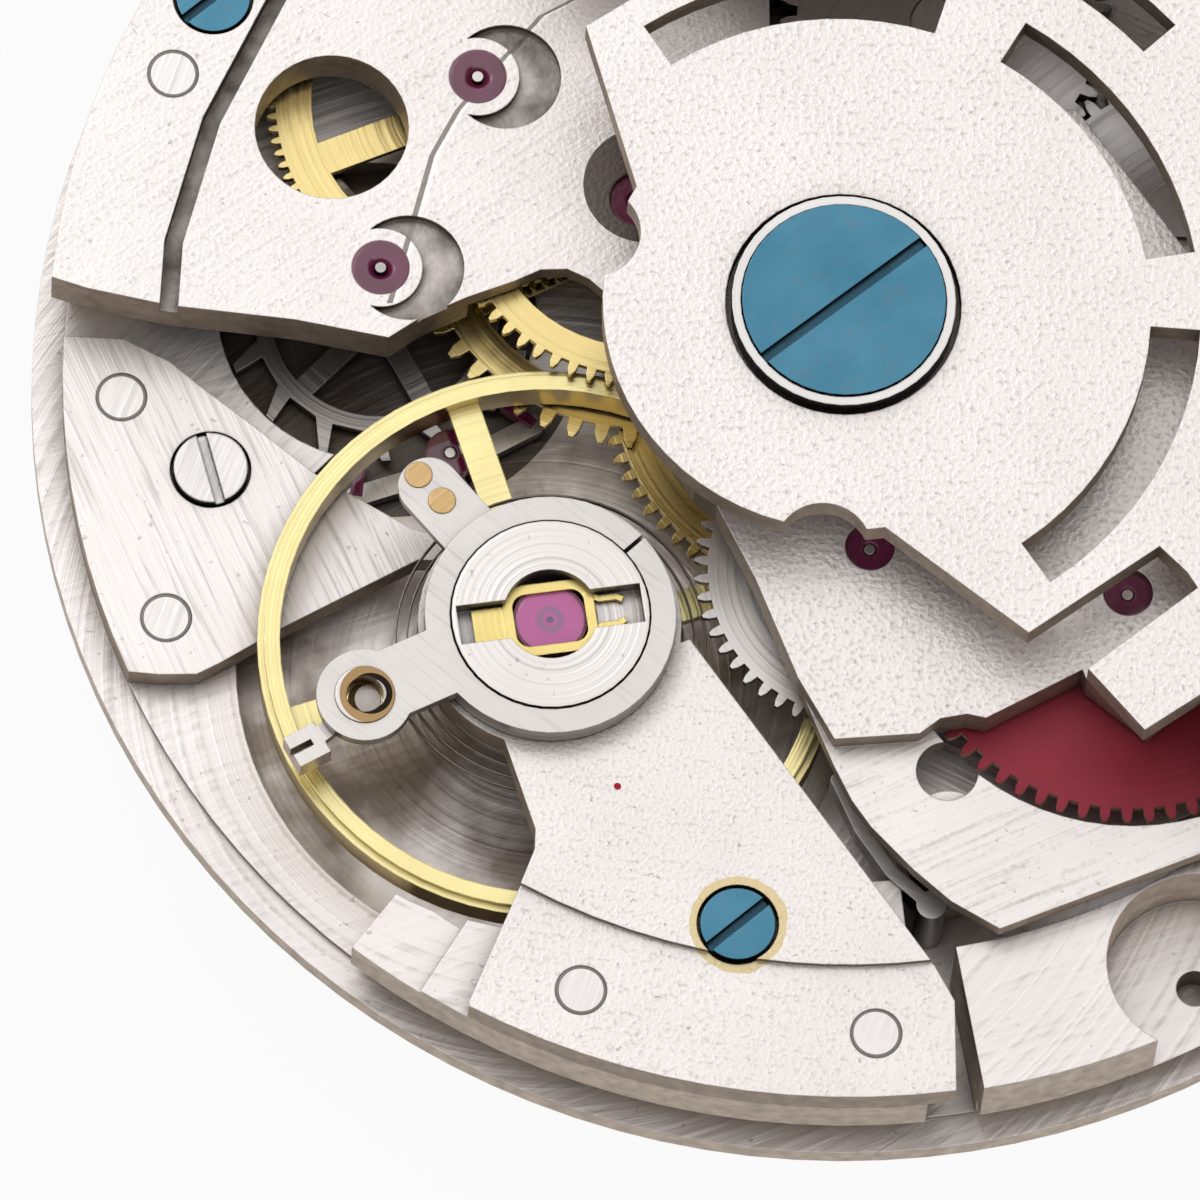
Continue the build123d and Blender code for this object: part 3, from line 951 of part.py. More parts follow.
def train_wheels():
    top = CENTRE_WHEEL_LOW + WHEEL_THICKNESS
    centre = gear(CENTRE_WHEEL_RADIUS, CENTRE_WHEEL_TEETH, CENTRE_WHEEL_LOW, top, CENTRE, CENTRE_TUBE_RADIUS)
    centre = spoked(centre, CENTRE_WHEEL_RADIUS, CENTRE_WHEEL_LOW, top, CENTRE, 5)
    seconds_bore = SECONDS_ARBOR_RADIUS + PIVOT_CLEARANCE
    pinion = gear(CENTRE_PINION_RADIUS, CENTRE_PINION_TEETH, BARREL_LOW + PIVOT_CLEARANCE,
                  BARREL_LOW + BARREL_TOOTH_HEIGHT, CENTRE, 0, mesh_phase(CENTRE_PINION_TEETH, BARREL_ANGLE))
    pinion += rod(CENTRE_TUBE_RADIUS, CENTRE_ARBOR_LOW, top + PIVOT_CLEARANCE)
    pinion -= rod(seconds_bore, -MOVEMENT_RADIUS, MOVEMENT_RADIUS)
    third_top = THIRD_WHEEL_LOW + WHEEL_THICKNESS
    third = gear(THIRD_WHEEL_RADIUS, THIRD_WHEEL_TEETH, THIRD_WHEEL_LOW, third_top, THIRD, ARBOR_RADIUS,
                 FOURTH_ANGLE)
    third = spoked(third, THIRD_WHEEL_RADIUS, THIRD_WHEEL_LOW, third_top, THIRD, 4, 25)
    drive_top = SECONDS_WHEEL_LOW + SECONDS_WHEEL_THICKNESS
    drive = gear(SECONDS_WHEEL_RADIUS, SECONDS_WHEEL_TEETH, SECONDS_WHEEL_LOW, drive_top, THIRD, ARBOR_RADIUS,
                 FOURTH_ANGLE + 180)
    drive = spoked(drive, SECONDS_WHEEL_RADIUS, SECONDS_WHEEL_LOW, drive_top, THIRD, 4, 25)
    third_pinion = arbor(THIRD, FLOOR_TOP - JEWEL_THICKNESS, ROTOR_GEAR_RECESS, THIRD_PINION_RADIUS,
                         THIRD_PINION_TEETH, CENTRE_WHEEL_LOW - OVERRUN, SECONDS_WHEEL_LOW,
                         matched_phase(FOURTH_ANGLE, CENTRE_WHEEL_RADIUS, CENTRE_WHEEL_TEETH, 0,
                                       THIRD_PINION_RADIUS, THIRD_PINION_TEETH))
    fourth_top = FOURTH_WHEEL_LOW + WHEEL_THICKNESS
    fourth = gear(FOURTH_WHEEL_RADIUS, FOURTH_WHEEL_TEETH, FOURTH_WHEEL_LOW, fourth_top, FOURTH, ARBOR_RADIUS,
                  FOURTH_TO_ESCAPE_ANGLE)
    fourth = spoked(fourth, FOURTH_WHEEL_RADIUS, FOURTH_WHEEL_LOW, fourth_top, FOURTH, 4, 112)
    fourth_pinion = rod(PIVOT_RADIUS, SMALL_BRIDGE_LOW, BRIDGE_TOP, FOURTH)
    fourth_pinion += rod(ARBOR_RADIUS, SMALL_BRIDGE_TOP + PIVOT_CLEARANCE / 2,
                         BRIDGE_TOP - JEWEL_THICKNESS - PIVOT_CLEARANCE, FOURTH)
    fourth_pinion += gear(FOURTH_PINION_RADIUS, FOURTH_PINION_TEETH, THIRD_WHEEL_LOW - SIDE_CLEARANCE,
                          third_top + PIVOT_CLEARANCE, FOURTH, 0,
                          mesh_phase(FOURTH_PINION_TEETH, FOURTH_ANGLE + 180))
    escape_pinion = arbor(ESCAPE, FLOOR_TOP - JEWEL_THICKNESS, BRIDGE_TOP, ESCAPE_PINION_RADIUS,
                          ESCAPE_PINION_TEETH, FOURTH_WHEEL_LOW - OVERRUN, fourth_top + OVERRUN / 2,
                          mesh_phase(ESCAPE_PINION_TEETH, FOURTH_TO_ESCAPE_ANGLE + 180))
    seconds = gear(SECONDS_PINION_RADIUS, SECONDS_PINION_TEETH, SECONDS_WHEEL_LOW, drive_top, CENTRE, 0,
                   mesh_phase(SECONDS_PINION_TEETH, FOURTH_ANGLE))
    seconds += rod(SECONDS_ARBOR_RADIUS, CANNON_LOW, drive_top)
    seconds += rod(SECONDS_POST_RADIUS, SECONDS_LOW, POST_LOW - SIDE_CLEARANCE)
    return {
        "centre_wheel": centre, "centre_pinion": pinion, "third_wheel": third, "seconds_drive_wheel": drive,
        "third_pinion": third_pinion, "fourth_wheel": fourth, "fourth_pinion": fourth_pinion,
        "escape_wheel": escape_wheel(), "escape_pinion": escape_pinion, "seconds_pinion": seconds,
    }


def escape_wheel():
    points = []
    for tooth in range(ESCAPE_WHEEL_TEETH):
        for reach, turn in ESCAPE_TOOTH_SHARES:
            points.append(point(reach * ESCAPE_WHEEL_RADIUS, (tooth + turn) * 360 / ESCAPE_WHEEL_TEETH))
    top = ESCAPE_WHEEL_LOW + WHEEL_THICKNESS
    body = Pos(*ESCAPE, 0) * plate(points, ESCAPE_WHEEL_LOW, top)
    body = spoked(body, ESCAPE_RIM_SHARE * ESCAPE_WHEEL_RADIUS,ESCAPE_WHEEL_LOW, top, ESCAPE, 5, 10)
    return body - rod(ARBOR_RADIUS, 0, MOVEMENT_RADIUS, ESCAPE)


def pallet_parts():
    low = ESCAPE_WHEEL_LOW - PIVOT_CLEARANCE
    top = DECK_TOP - OVERRUN
    reach = hypot(BALANCE[0] - PALLET[0], BALANCE[1] - PALLET[1])
    end = point(reach - FORK_END_GAP - FORK_WIDTH / 2, LEVER_ANGLE, PALLET)
    fork = capsule(PALLET, end, FORK_WIDTH, low, top)
    stones = []
    slots = []
    for side in (30, -30):
        contact = point(ESCAPE_WHEEL_RADIUS + 2 * PIVOT_CLEARANCE, LEVER_ANGLE + side, ESCAPE)
        outer = point(STONE_LENGTH / 2, LEVER_ANGLE + side, contact)
        arm = point(STONE_LENGTH, LEVER_ANGLE + side, contact)
        fork += capsule(PALLET, arm, FORK_WIDTH, low, top) - rod(
            ESCAPE_WHEEL_RADIUS + SIDE_CLEARANCE, 0, MOVEMENT_RADIUS, ESCAPE)
        stone = Pos(*outer, (low + top) / 2) * Rot(0, 0, LEVER_ANGLE + side) * Box(
            STONE_LENGTH, STONE_WIDTH, top - low)
        stones.append(stone)
        slots.append(stone)
    for slot in slots:
        fork -= slot
    notch = Box(FORK_WIDTH, 2.4 * IMPULSE_PIN_RADIUS, OVERRUN + top - low)
    notch = Pos(*end, (low + top) / 2) * Rot(0, 0, LEVER_ANGLE) * notch
    fork -= Pos(*point(FORK_WIDTH / 2, LEVER_ANGLE), 0) * notch
    fork -= rod(PIVOT_RADIUS, 0, MOVEMENT_RADIUS, PALLET)
    pin = rod(PIVOT_RADIUS, FLOOR_TOP - JEWEL_THICKNESS, PALLET_BRIDGE_TOP, PALLET)
    return {"pallet_fork": fork, "pallet_stones": group(stones), "pallet_arbor": pin}


# Balance
def balance_parts():
    wheel = tube(BALANCE_RADIUS, BALANCE_RADIUS - BALANCE_RIM_WIDTH, BALANCE_RIM_LOW, BALANCE_RIM_TOP, BALANCE)
    step = tube(BALANCE_RADIUS + OVERRUN, BALANCE_RADIUS - 0.3 * BALANCE_RIM_WIDTH,
                BALANCE_RIM_TOP - BALANCE_RIM_WIDTH / 3, BALANCE_RIM_TOP + OVERRUN, BALANCE)
    wheel -= step
    arm = Box(2 * BALANCE_RADIUS - BALANCE_RIM_WIDTH, BALANCE_ARM_WIDTH, BALANCE_ARM_TOP - BALANCE_ARM_LOW)
    for turn in (0, 90):
        wheel += Pos(*BALANCE, (BALANCE_ARM_LOW + BALANCE_ARM_TOP) / 2) * Rot(0, 0, BALANCE_ARM_ANGLE + turn) * arm
    wheel += rod(BALANCE_HUB_RADIUS, BALANCE_ARM_LOW, BALANCE_ARM_TOP, BALANCE)
    wheel -= rod(STAFF_RADIUS, 0, MOVEMENT_RADIUS, BALANCE)
    staff = rod(STAFF_RADIUS, SHOCK_LOWER_TOP + OVERRUN / 2, HOLE_JEWEL_LOW - OVERRUN / 4, BALANCE)
    staff += rod(PIVOT_FINE, LOWER_HOLE_JEWEL_LOW - SIDE_CLEARANCE / 2, CAP_JEWEL_LOW - PIVOT_CLEARANCE, BALANCE)
    staff += rod(1.6 * STAFF_RADIUS, BALANCE_ARM_LOW - OVERRUN, BALANCE_ARM_LOW, BALANCE)
    roller = tube(ROLLER_RADIUS, STAFF_RADIUS, ROLLER_LOW, ROLLER_TOP, BALANCE)
    pin_place = point(IMPULSE_PIN_OFFSET, LEVER_ANGLE, BALANCE)
    roller -= rod(IMPULSE_PIN_RADIUS, 0, MOVEMENT_RADIUS, pin_place)
    pin = rod(IMPULSE_PIN_RADIUS, ESCAPE_WHEEL_LOW, ROLLER_TOP, pin_place)
    collet = tube(HAIRSPRING_INNER - HAIRSPRING_WIRE, STAFF_RADIUS, HAIRSPRING_HEIGHT - HAIRSPRING_WIRE,
                  HAIRSPRING_HEIGHT + HAIRSPRING_WIRE, BALANCE)
    wire = spiral_edges(HAIRSPRING_INNER - HAIRSPRING_WIRE / 4, HAIRSPRING_PITCH, HAIRSPRING_TURNS)
    section = Plane(origin=(HAIRSPRING_INNER - HAIRSPRING_WIRE / 4, 0, 0), x_dir=(1, 0, 0), z_dir=(0, 1, 0))
    spring = Pos(*BALANCE, HAIRSPRING_HEIGHT) * Rot(0, 0, CARRIER_ARM_ANGLE) * sweep(
        section * Circle(HAIRSPRING_WIRE / 2), wire)
    spring -= rod(HAIRSPRING_INNER - HAIRSPRING_WIRE, 0, MOVEMENT_RADIUS, BALANCE)
    return {"balance_wheel": wheel, "balance_staff": staff, "roller": roller, "impulse_pin": pin,
            "hairspring_collet": collet, "hairspring": spring}


def spiral_gap(inner, pitch, turns, wire):
    # Least distance between neighbouring turns, measured on points of the arcs, less the wire
    places = []
    for half in range(2 * turns):
        side = 1 if half % 2 == 0 else -1
        start = side * (inner + half * pitch / 2)
        end = -side * (inner + (half + 1) * pitch / 2)
        for step in range(18):
            angle = radians(10 * step)
            radius = abs(end - start) / 2
            places.append((half * 18 + step, (start + end) / 2 + side * radius * cos(angle),
                           side * radius * sin(angle)))
    gaps = [hypot(ax - bx, ay - by) for i, ax, ay in places for j, bx, by in places if j - i > 18]
    return min(gaps) - wire


# Automatic work
def rotor_parts():
    half = scaled(ROTOR_WEB_SHARES)
    outline = half + [(x, -y) for x, y in reversed(half)]
    web = plate(outline, ROTOR_LOW, ROTOR_TOP)
    web += rod(ROTOR_HUB_RADIUS, ROTOR_LOW, ROTOR_TOP)
    web += sector(ROTOR_HOLE_RADIUS, ROTOR_WEB_RADIUS, -WEB_SPAN, WEB_SPAN, ROTOR_LOW, ROTOR_TOP)
    for way in (1, -1):
        web -= rod(ROTOR_NOTCH_RADIUS, 0, MOVEMENT_RADIUS, point(ROTOR_NOTCH_REACH, way * ROTOR_NOTCH_ANGLE))
    for inner, outer, spans in ((SLOT_INNER, SLOT_OUTER, SLOT_SPANS),
                                (OUTER_SLOT_INNER, OUTER_SLOT_OUTER, OUTER_SLOT_SPANS)):
        for start, end in spans:
            web -= sector(inner, outer, start, end, ROTOR_LOW - OVERRUN, ROTOR_TOP + OVERRUN)
    web -= rod(ROTOR_HOLE_RADIUS, ROTOR_SCREW_SEAT, MOVEMENT_RADIUS) + rod(ROTOR_TUBE_RADIUS, 0, MOVEMENT_RADIUS)
    web = Rot(0, 0, ROTOR_AXIS_ANGLE) * web
    rim = sector(ROTOR_WEB_RADIUS, ROTOR_WEIGHT_RADIUS, -ROTOR_WEIGHT_HALF_ANGLE, ROTOR_WEIGHT_HALF_ANGLE,
                 ROTOR_WEIGHT_LOW, ROTOR_TOP)
    rim += sector(ROTOR_WEIGHT_INNER, ROTOR_WEB_RADIUS, -ROTOR_WEIGHT_HALF_ANGLE, ROTOR_WEIGHT_HALF_ANGLE,
                  ROTOR_WEIGHT_LOW, ROTOR_LOW)
    rim = Rot(0, 0, ROTOR_AXIS_ANGLE) * rim
    hub = tube(ROTOR_TUBE_RADIUS, ROTOR_POST_RADIUS + PIVOT_CLEARANCE, RED_WHEEL_LOW - PIVOT_CLEARANCE,
               ROTOR_SCREW_SEAT)
    collar = tube(ROTOR_COLLAR_RADIUS, ROTOR_SCREW_RADIUS + PIVOT_CLEARANCE, ROTOR_SCREW_SEAT,
                  SCREW_TOP - SIDE_CLEARANCE / 2)
    screw = rod(ROTOR_SCREW_RADIUS, ROTOR_SCREW_SEAT, SCREW_TOP)
    screw += rod(ROTOR_POST_RADIUS, POST_TOP + SIDE_CLEARANCE, ROTOR_SCREW_SEAT)
    slot = Box(2 * ROTOR_SCREW_RADIUS + OVERRUN, ROTOR_SCREW_SLOT, 2 * SCREW_SLOT_DEPTH)
    screw -= Pos(0, 0, SCREW_TOP) * Rot(0, 0, ROTOR_SCREW_TURN) * slot
    gear_top = RED_WHEEL_LOW + WHEEL_THICKNESS
    wheel = gear(ROTOR_GEAR_RADIUS, ROTOR_GEAR_TEETH, RED_WHEEL_LOW, gear_top, CENTRE, ROTOR_TUBE_RADIUS,
                 mesh_phase(ROTOR_GEAR_TEETH, heading(CENTRE, RED_WHEEL)))
    return {"rotor_web": web, "rotor_weight": rim, "rotor_hub": hub, "rotor_collar": collar,
            "rotor_screw": screw, "rotor_gear": wheel, "rotor_post": rod(ROTOR_POST_RADIUS, POST_LOW, POST_TOP)}


def automatic_wheels():
    red_top = RED_WHEEL_LOW + WHEEL_THICKNESS
    red = gear(RED_WHEEL_RADIUS, RED_WHEEL_TEETH, RED_WHEEL_LOW, red_top, RED_WHEEL,
               ARBOR_RADIUS + PIVOT_CLEARANCE, heading(RED_WHEEL, CENTRE))
    steel_top = STEEL_WHEEL_LOW + WHEEL_THICKNESS
    lift = PIVOT_RADIUS
    reverser = arbor(RED_WHEEL, AUTO_PLATE_LOW, AUTO_BRIDGE_TOP - JEWEL_CUP_DEPTH, 0, 0, 0, 0)
    way = heading(RED_WHEEL, STEEL_WHEEL)
    reverser += gear(REVERSER_PINION_RADIUS, REVERSER_PINION_TEETH, STEEL_WHEEL_LOW, steel_top + lift, RED_WHEEL,
                     0, way)
    steel = gear(STEEL_WHEEL_RADIUS, STEEL_WHEEL_TEETH, STEEL_WHEEL_LOW, steel_top, STEEL_WHEEL, ARBOR_RADIUS,
                 mesh_phase(STEEL_WHEEL_TEETH, way + 180))
    way = heading(STEEL_WHEEL, TRANSFER)
    ratchet_top = RATCHET_LOW + RATCHET_THICKNESS
    steel_pinion = arbor(STEEL_WHEEL, AUTO_PLATE_LOW, AUTO_BRIDGE_TOP - JEWEL_CUP_DEPTH, STEEL_PINION_RADIUS,
                         STEEL_PINION_TEETH, RATCHET_LOW, STEEL_WHEEL_LOW, mesh_phase(STEEL_PINION_TEETH, way))
    transfer = gear(TRANSFER_RADIUS, TRANSFER_TEETH, RATCHET_LOW, ratchet_top, TRANSFER, 0, way + 180)
    transfer += rod(PIVOT_RADIUS, AUTO_PLATE_LOW, STEEL_WHEEL_LOW, TRANSFER)
    ratchet_phase = matched_phase(heading(TRANSFER, BARREL), TRANSFER_RADIUS, TRANSFER_TEETH, way + 180,
                                  RATCHET_RADIUS, RATCHET_TEETH)
    ratchet = gear(RATCHET_RADIUS, RATCHET_TEETH, RATCHET_LOW, ratchet_top, BARREL, 0, ratchet_phase)
    crown_phase = matched_phase(heading(BARREL, CROWN_WHEEL), RATCHET_RADIUS, RATCHET_TEETH, ratchet_phase,
                                CROWN_WHEEL_RADIUS, CROWN_WHEEL_TEETH)
    crown = gear(CROWN_WHEEL_RADIUS, CROWN_WHEEL_TEETH, RATCHET_LOW, ratchet_top, CROWN_WHEEL,
                 CROWN_STUD_RADIUS + PIVOT_CLEARANCE, crown_phase)
    stud = rod(CROWN_STUD_RADIUS, BARREL_BRIDGE_TOP - OVERRUN, ratchet_top, CROWN_WHEEL)
    ratchet += rod(2 * BRIDGE_SCREW_RADIUS, ratchet_top, ratchet_top + SCREW_SLOT_DEPTH, BARREL)
    slot = Box(4 * BRIDGE_SCREW_RADIUS, SCREW_SLOT_WIDTH, 2 * SCREW_SLOT_DEPTH)
    ratchet -= Pos(*BARREL, ratchet_top + SCREW_SLOT_DEPTH) * slot
    return {"reversing_wheel": red, "reverser_pinion": reverser, "reduction_wheel": steel,
            "reduction_pinion": steel_pinion, "transfer_wheel": transfer, "ratchet_wheel": ratchet,
            "crown_wheel": crown, "crown_wheel_stud": stud}


def click_parts():
    low = BARREL_BRIDGE_TOP + PIVOT_CLEARANCE
    top = RATCHET_LOW + RATCHET_THICKNESS
    pivot = point(CLICK_PIVOT_REACH, CLICK_ANGLE, BARREL)
    tip = point(RATCHET_RADIUS + 4 * SIDE_CLEARANCE, CLICK_ANGLE + 16, BARREL)
    click = capsule(pivot, tip, CLICK_WIDTH, low, top)
    click -= rod(STUD_RADIUS + PIVOT_CLEARANCE, 0, MOVEMENT_RADIUS, pivot)
    click -= rod(RATCHET_RADIUS + 2 * SIDE_CLEARANCE, 0, MOVEMENT_RADIUS, BARREL)
    stud = rod(STUD_RADIUS, BARREL_BRIDGE_TOP, top, pivot)
    anchor = point(CLICK_PIVOT_REACH + 0.9 * CLICK_WIDTH, CLICK_ANGLE + 30, BARREL)
    free = point(CLICK_PIVOT_REACH + CLICK_WIDTH, CLICK_ANGLE + 9, BARREL)
    spring = capsule(anchor, free, 2 * CLICK_SPRING_RADIUS, BARREL_BRIDGE_TOP, top)
    spring += rod(2.5 * CLICK_SPRING_RADIUS, BARREL_BRIDGE_TOP, top, anchor)
    return {"click": click, "click_stud": stud, "click_spring": spring}


def turned(radius, start, end):
    return stem_bore(radius, start, end)


def toothed_roller(radius, teeth, start, end, bore):
    wheel = plate(gear_points(radius, teeth), 0, end - start)
    wheel -= rod(bore, -OVERRUN, end - start + OVERRUN)
    return Pos(0, start, STEM_HEIGHT) * Rot(-90, 0, 0) * wheel


def winding_parts():
    # The stem runs in its journal, and its threaded end for the crown stands clear of the plate
    stem = turned(STEM_RADIUS, STEM_TIP, STEM_JOURNAL_START)
    stem += turned(STEM_JOURNAL_RADIUS, STEM_JOURNAL_START, STEM_THREAD_START)
    stem += turned(STEM_THREAD_RADIUS, STEM_THREAD_START, STEM_END)
    start = WINDING_PINION_START
    groove_end = STEM_GROOVE_START + STEM_GROOVE_LENGTH
    stem -= turned(2 * STEM_RADIUS, STEM_GROOVE_START, groove_end) - turned(
        0.6 * STEM_RADIUS, STEM_GROOVE_START - OVERRUN, groove_end + OVERRUN)
    bore = STEM_RADIUS + PIVOT_CLEARANCE
    pinion = toothed_roller(WINDING_PINION_RADIUS, WINDING_PINION_TEETH, start, start + WINDING_PINION_LENGTH, bore)
    clutch = turned(CLUTCH_WAIST_RADIUS, CLUTCH_START, CLUTCH_START + CLUTCH_LENGTH)
    for low in (CLUTCH_START, CLUTCH_START + 2 * CLUTCH_LENGTH / 3):
        clutch += turned(CLUTCH_RADIUS, low, low + CLUTCH_LENGTH / 3)
    clutch -= turned(bore, CLUTCH_START - OVERRUN, CLUTCH_START + CLUTCH_LENGTH + OVERRUN)
    hole = STUD_RADIUS + PIVOT_CLEARANCE
    lever = capsule(SETTING_LEVER_PIVOT, SETTING_LEVER_END, LEVER_WIDTH, LEVER_LOW, LEVER_TOP)
    lever -= rod(hole, 0, MOVEMENT_RADIUS, SETTING_LEVER_PIVOT)
    yoke = capsule(YOKE_PIVOT, YOKE_END, LEVER_WIDTH, LEVER_LOW, LEVER_TOP)
    yoke -= rod(hole, 0, MOVEMENT_RADIUS, YOKE_PIVOT)
    return {"winding_stem": stem, "winding_pinion": pinion, "sliding_pinion": clutch, "setting_lever": lever,
            "yoke": yoke}


def motion_work():
    low = DIAL_WORK_LOW
    middle = low + DIAL_WORK_STEP
    top = middle + DIAL_WORK_STEP - PIVOT_CLEARANCE
    step_top = middle - PIVOT_CLEARANCE
    hole = STUD_RADIUS + PIVOT_CLEARANCE
    cannon = rod(MINUTE_SEAT_RADIUS, CANNON_LOW, MINUTE_SEAT_TOP) + rod(CANNON_TUBE_RADIUS, MINUTE_SEAT_TOP, middle)
    cannon += gear(CANNON_RADIUS, CANNON_TEETH, middle, top, CENTRE, 0, 90)
    cannon -= rod(CENTRE_TUBE_RADIUS, CENTRE_ARBOR_LOW, MOVEMENT_RADIUS)
    cannon -= rod(SECONDS_ARBOR_RADIUS + PIVOT_CLEARANCE, -MOVEMENT_RADIUS, MOVEMENT_RADIUS)
    minute = gear(MINUTE_WHEEL_RADIUS, MINUTE_WHEEL_TEETH, middle, top, MINUTE_WHEEL, 0,
                  mesh_phase(MINUTE_WHEEL_TEETH, 270))
    minute += gear(MINUTE_PINION_RADIUS, MINUTE_PINION_TEETH, low, middle, MINUTE_WHEEL, 0,
                   mesh_phase(MINUTE_PINION_TEETH, 270))
    minute -= rod(hole, 0, MOVEMENT_RADIUS, MINUTE_WHEEL)
    hour = gear(HOUR_WHEEL_RADIUS, HOUR_WHEEL_TEETH, low, step_top, CENTRE, 0, 90)
    hour += rod(HOUR_PIPE_RADIUS, HOUR_SEAT_TOP, step_top) + rod(HOUR_SEAT_RADIUS, HOUR_PIPE_LOW, HOUR_SEAT_TOP)
    hour -= rod(CANNON_TUBE_RADIUS + PIVOT_CLEARANCE, -MOVEMENT_RADIUS, MOVEMENT_RADIUS)
    setting = gear(SETTING_WHEEL_RADIUS, SETTING_WHEEL_TEETH, middle, SETTING_WHEEL_TOP, SETTING_WHEEL, hole,
                   mesh_phase(SETTING_WHEEL_TEETH, 270))
    way = DATE_WORK_ANGLE
    idler = gear(DATE_IDLER_RADIUS, DATE_IDLER_TEETH, low, step_top, DATE_IDLER, 0,
                 mesh_phase(DATE_IDLER_TEETH, way + 180))
    idler += gear(DATE_IDLER_PINION_RADIUS, DATE_IDLER_PINION_TEETH, step_top, top, DATE_IDLER, 0, way)
    idler -= rod(hole, 0, MOVEMENT_RADIUS, DATE_IDLER)
    driver = gear(DATE_WHEEL_RADIUS, DATE_WHEEL_TEETH, middle, top, DATE_WHEEL, 0,
                  mesh_phase(DATE_WHEEL_TEETH, way + 180))
    finger = point(DATE_FINGER_REACH - LEVER_WIDTH / 2, way + 100, DATE_WHEEL)
    driver += capsule(DATE_WHEEL, finger, LEVER_WIDTH / 2, low + PIVOT_CLEARANCE, middle)
    driver -= rod(hole, 0, MOVEMENT_RADIUS, DATE_WHEEL)
    return {"cannon_pinion": cannon, "minute_wheel": minute, "hour_wheel": hour, "setting_wheel": setting,
            "date_idler": idler, "date_driving_wheel": driver}


def calendar():
    ring = rod(DATE_RING_OUTER, DATE_RING_LOW, DATE_RING_TOP)
    points = []
    for tooth in range(DATE_RING_TEETH):
        for turn, reach in ((0.0, 0), (0.34, 1), (0.42, 1), (0.5, 0)):
            points.append(point(DATE_RING_INNER - reach * DATE_TOOTH_DEPTH, (tooth + turn) * 360 / DATE_RING_TEETH))
    ring -= plate(points, DATE_RING_LOW - OVERRUN, DATE_RING_TOP + OVERRUN)
    cover = rod(DATE_COVER_RADIUS, 0, DATE_COVER_THICKNESS)
    cover -= rod(HOUR_PIPE_RADIUS + SIDE_CLEARANCE, -OVERRUN, MOVEMENT_RADIUS)
    screws = []
    for place in CALENDAR_SCREWS:
        cover -= rod(BRIDGE_SCREW_SHANK, -OVERRUN, MOVEMENT_RADIUS, place)
        screws.append(rod(BRIDGE_SCREW_SHANK, 0, CALENDAR_SCREW_TOP, place))
    jumper = capsule(JUMPER_PIVOT, JUMPER_END, LEVER_WIDTH, LEVER_LOW, LEVER_TOP)
    jumper -= rod(STUD_RADIUS + PIVOT_CLEARANCE, 0, MOVEMENT_RADIUS, JUMPER_PIVOT)
    return {"date_ring": ring, "calendar_plate": cover, "calendar_screws": group(screws), "date_jumper": jumper}


def gap_spring():
    # Curved steel spring between the cock and the automatic bridge, held at a round pin
    points = scaled(GAP_SPRING_SHARES) + [GAP_PIN]
    strip = rod(GAP_PIN_RADIUS, DECK_TOP, COCK_ARM_LOW, GAP_PIN)
    for start, end in zip(points, points[1:]):
        strip += capsule(start, end, GAP_SPRING_WIDTH, BARREL_BRIDGE_TOP + SIDE_CLEARANCE, COCK_ARM_LOW)
    return strip


PARTS = {
    "main_plate": main_plate(), "train_bridge": train_bridge(), "pallet_bridge": pallet_bridge(),
    "balance_cock": balance_cock(), "barrel_bridge": barrel_bridge(), "automatic_bridge": automatic_bridge(),
    "small_bridge": small_bridge(),
    "automatic_plate": automatic_plate(), "regulator": regulator(), "curb_pins": curb_pins(),
    "stud_carrier": stud_carrier(), "hairspring_stud": hairspring_stud(), "index_block": index_block(),
    "upper_shock_setting": shock_block(), "upper_shock_jewels": shock_jewels(), "lyre_spring": lyre_spring(),
    "gap_spring": gap_spring(),
}
PARTS.update(hardware())
PARTS.update(jewels())
PARTS.update(lower_shock())
PARTS.update(barrel_parts())
PARTS.update(train_wheels())
PARTS.update(pallet_parts())
PARTS.update(balance_parts())
PARTS.update(rotor_parts())
PARTS.update(automatic_wheels())
PARTS.update(click_parts())
PARTS.update(winding_parts())
PARTS.update(motion_work())
PARTS.update(calendar())

# Small pieces of one assembly share a node, each still a solid of its own
SHARED_NODES = {
    "jewels": ["train_jewels", "automatic_jewels", "pallet_bridge_jewel", "plate_jewels", "lower_shock_jewels"],
    "shock_settings": ["upper_shock_setting", "lower_shock_setting"],
    "hairspring_stud": ["hairspring_stud", "index_block"],
    "barrel": ["barrel_drum", "barrel_cover"],
    "centre_wheel": ["centre_wheel", "centre_pinion"],
    "third_wheel": ["third_wheel", "seconds_drive_wheel", "third_pinion"],
    "fourth_wheel": ["fourth_wheel", "fourth_pinion"],
    "escape_wheel": ["escape_wheel", "escape_pinion"],
    "pallet_fork": ["pallet_fork", "pallet_arbor"],
    "roller": ["roller", "impulse_pin"],
    "balance_staff": ["balance_staff", "hairspring_collet"],
    "rotor_hub": ["rotor_hub", "rotor_collar", "rotor_gear"],
    "reduction_wheel": ["reduction_wheel", "reduction_pinion"],
    "pins_and_posts": ["dowel_pins", "rotor_post", "crown_wheel_stud", "click_stud"],
    "steel_screws": ["silver_screws", "calendar_screws"],
}
for name, members in SHARED_NODES.items():
    PARTS[name] = group([PARTS.pop(member) for member in members])

print("hairspring gap", spiral_gap(HAIRSPRING_INNER, HAIRSPRING_PITCH, HAIRSPRING_TURNS, HAIRSPRING_WIRE))
os.makedirs("parts", exist_ok=True)
for name, shape in PARTS.items():
    export_step(shape, "parts/" + name + ".step")
print(len(PARTS), "nodes")
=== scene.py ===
import json
from math import cos, pi, radians, sin

import bmesh
import bpy
from mathutils import Matrix, Vector

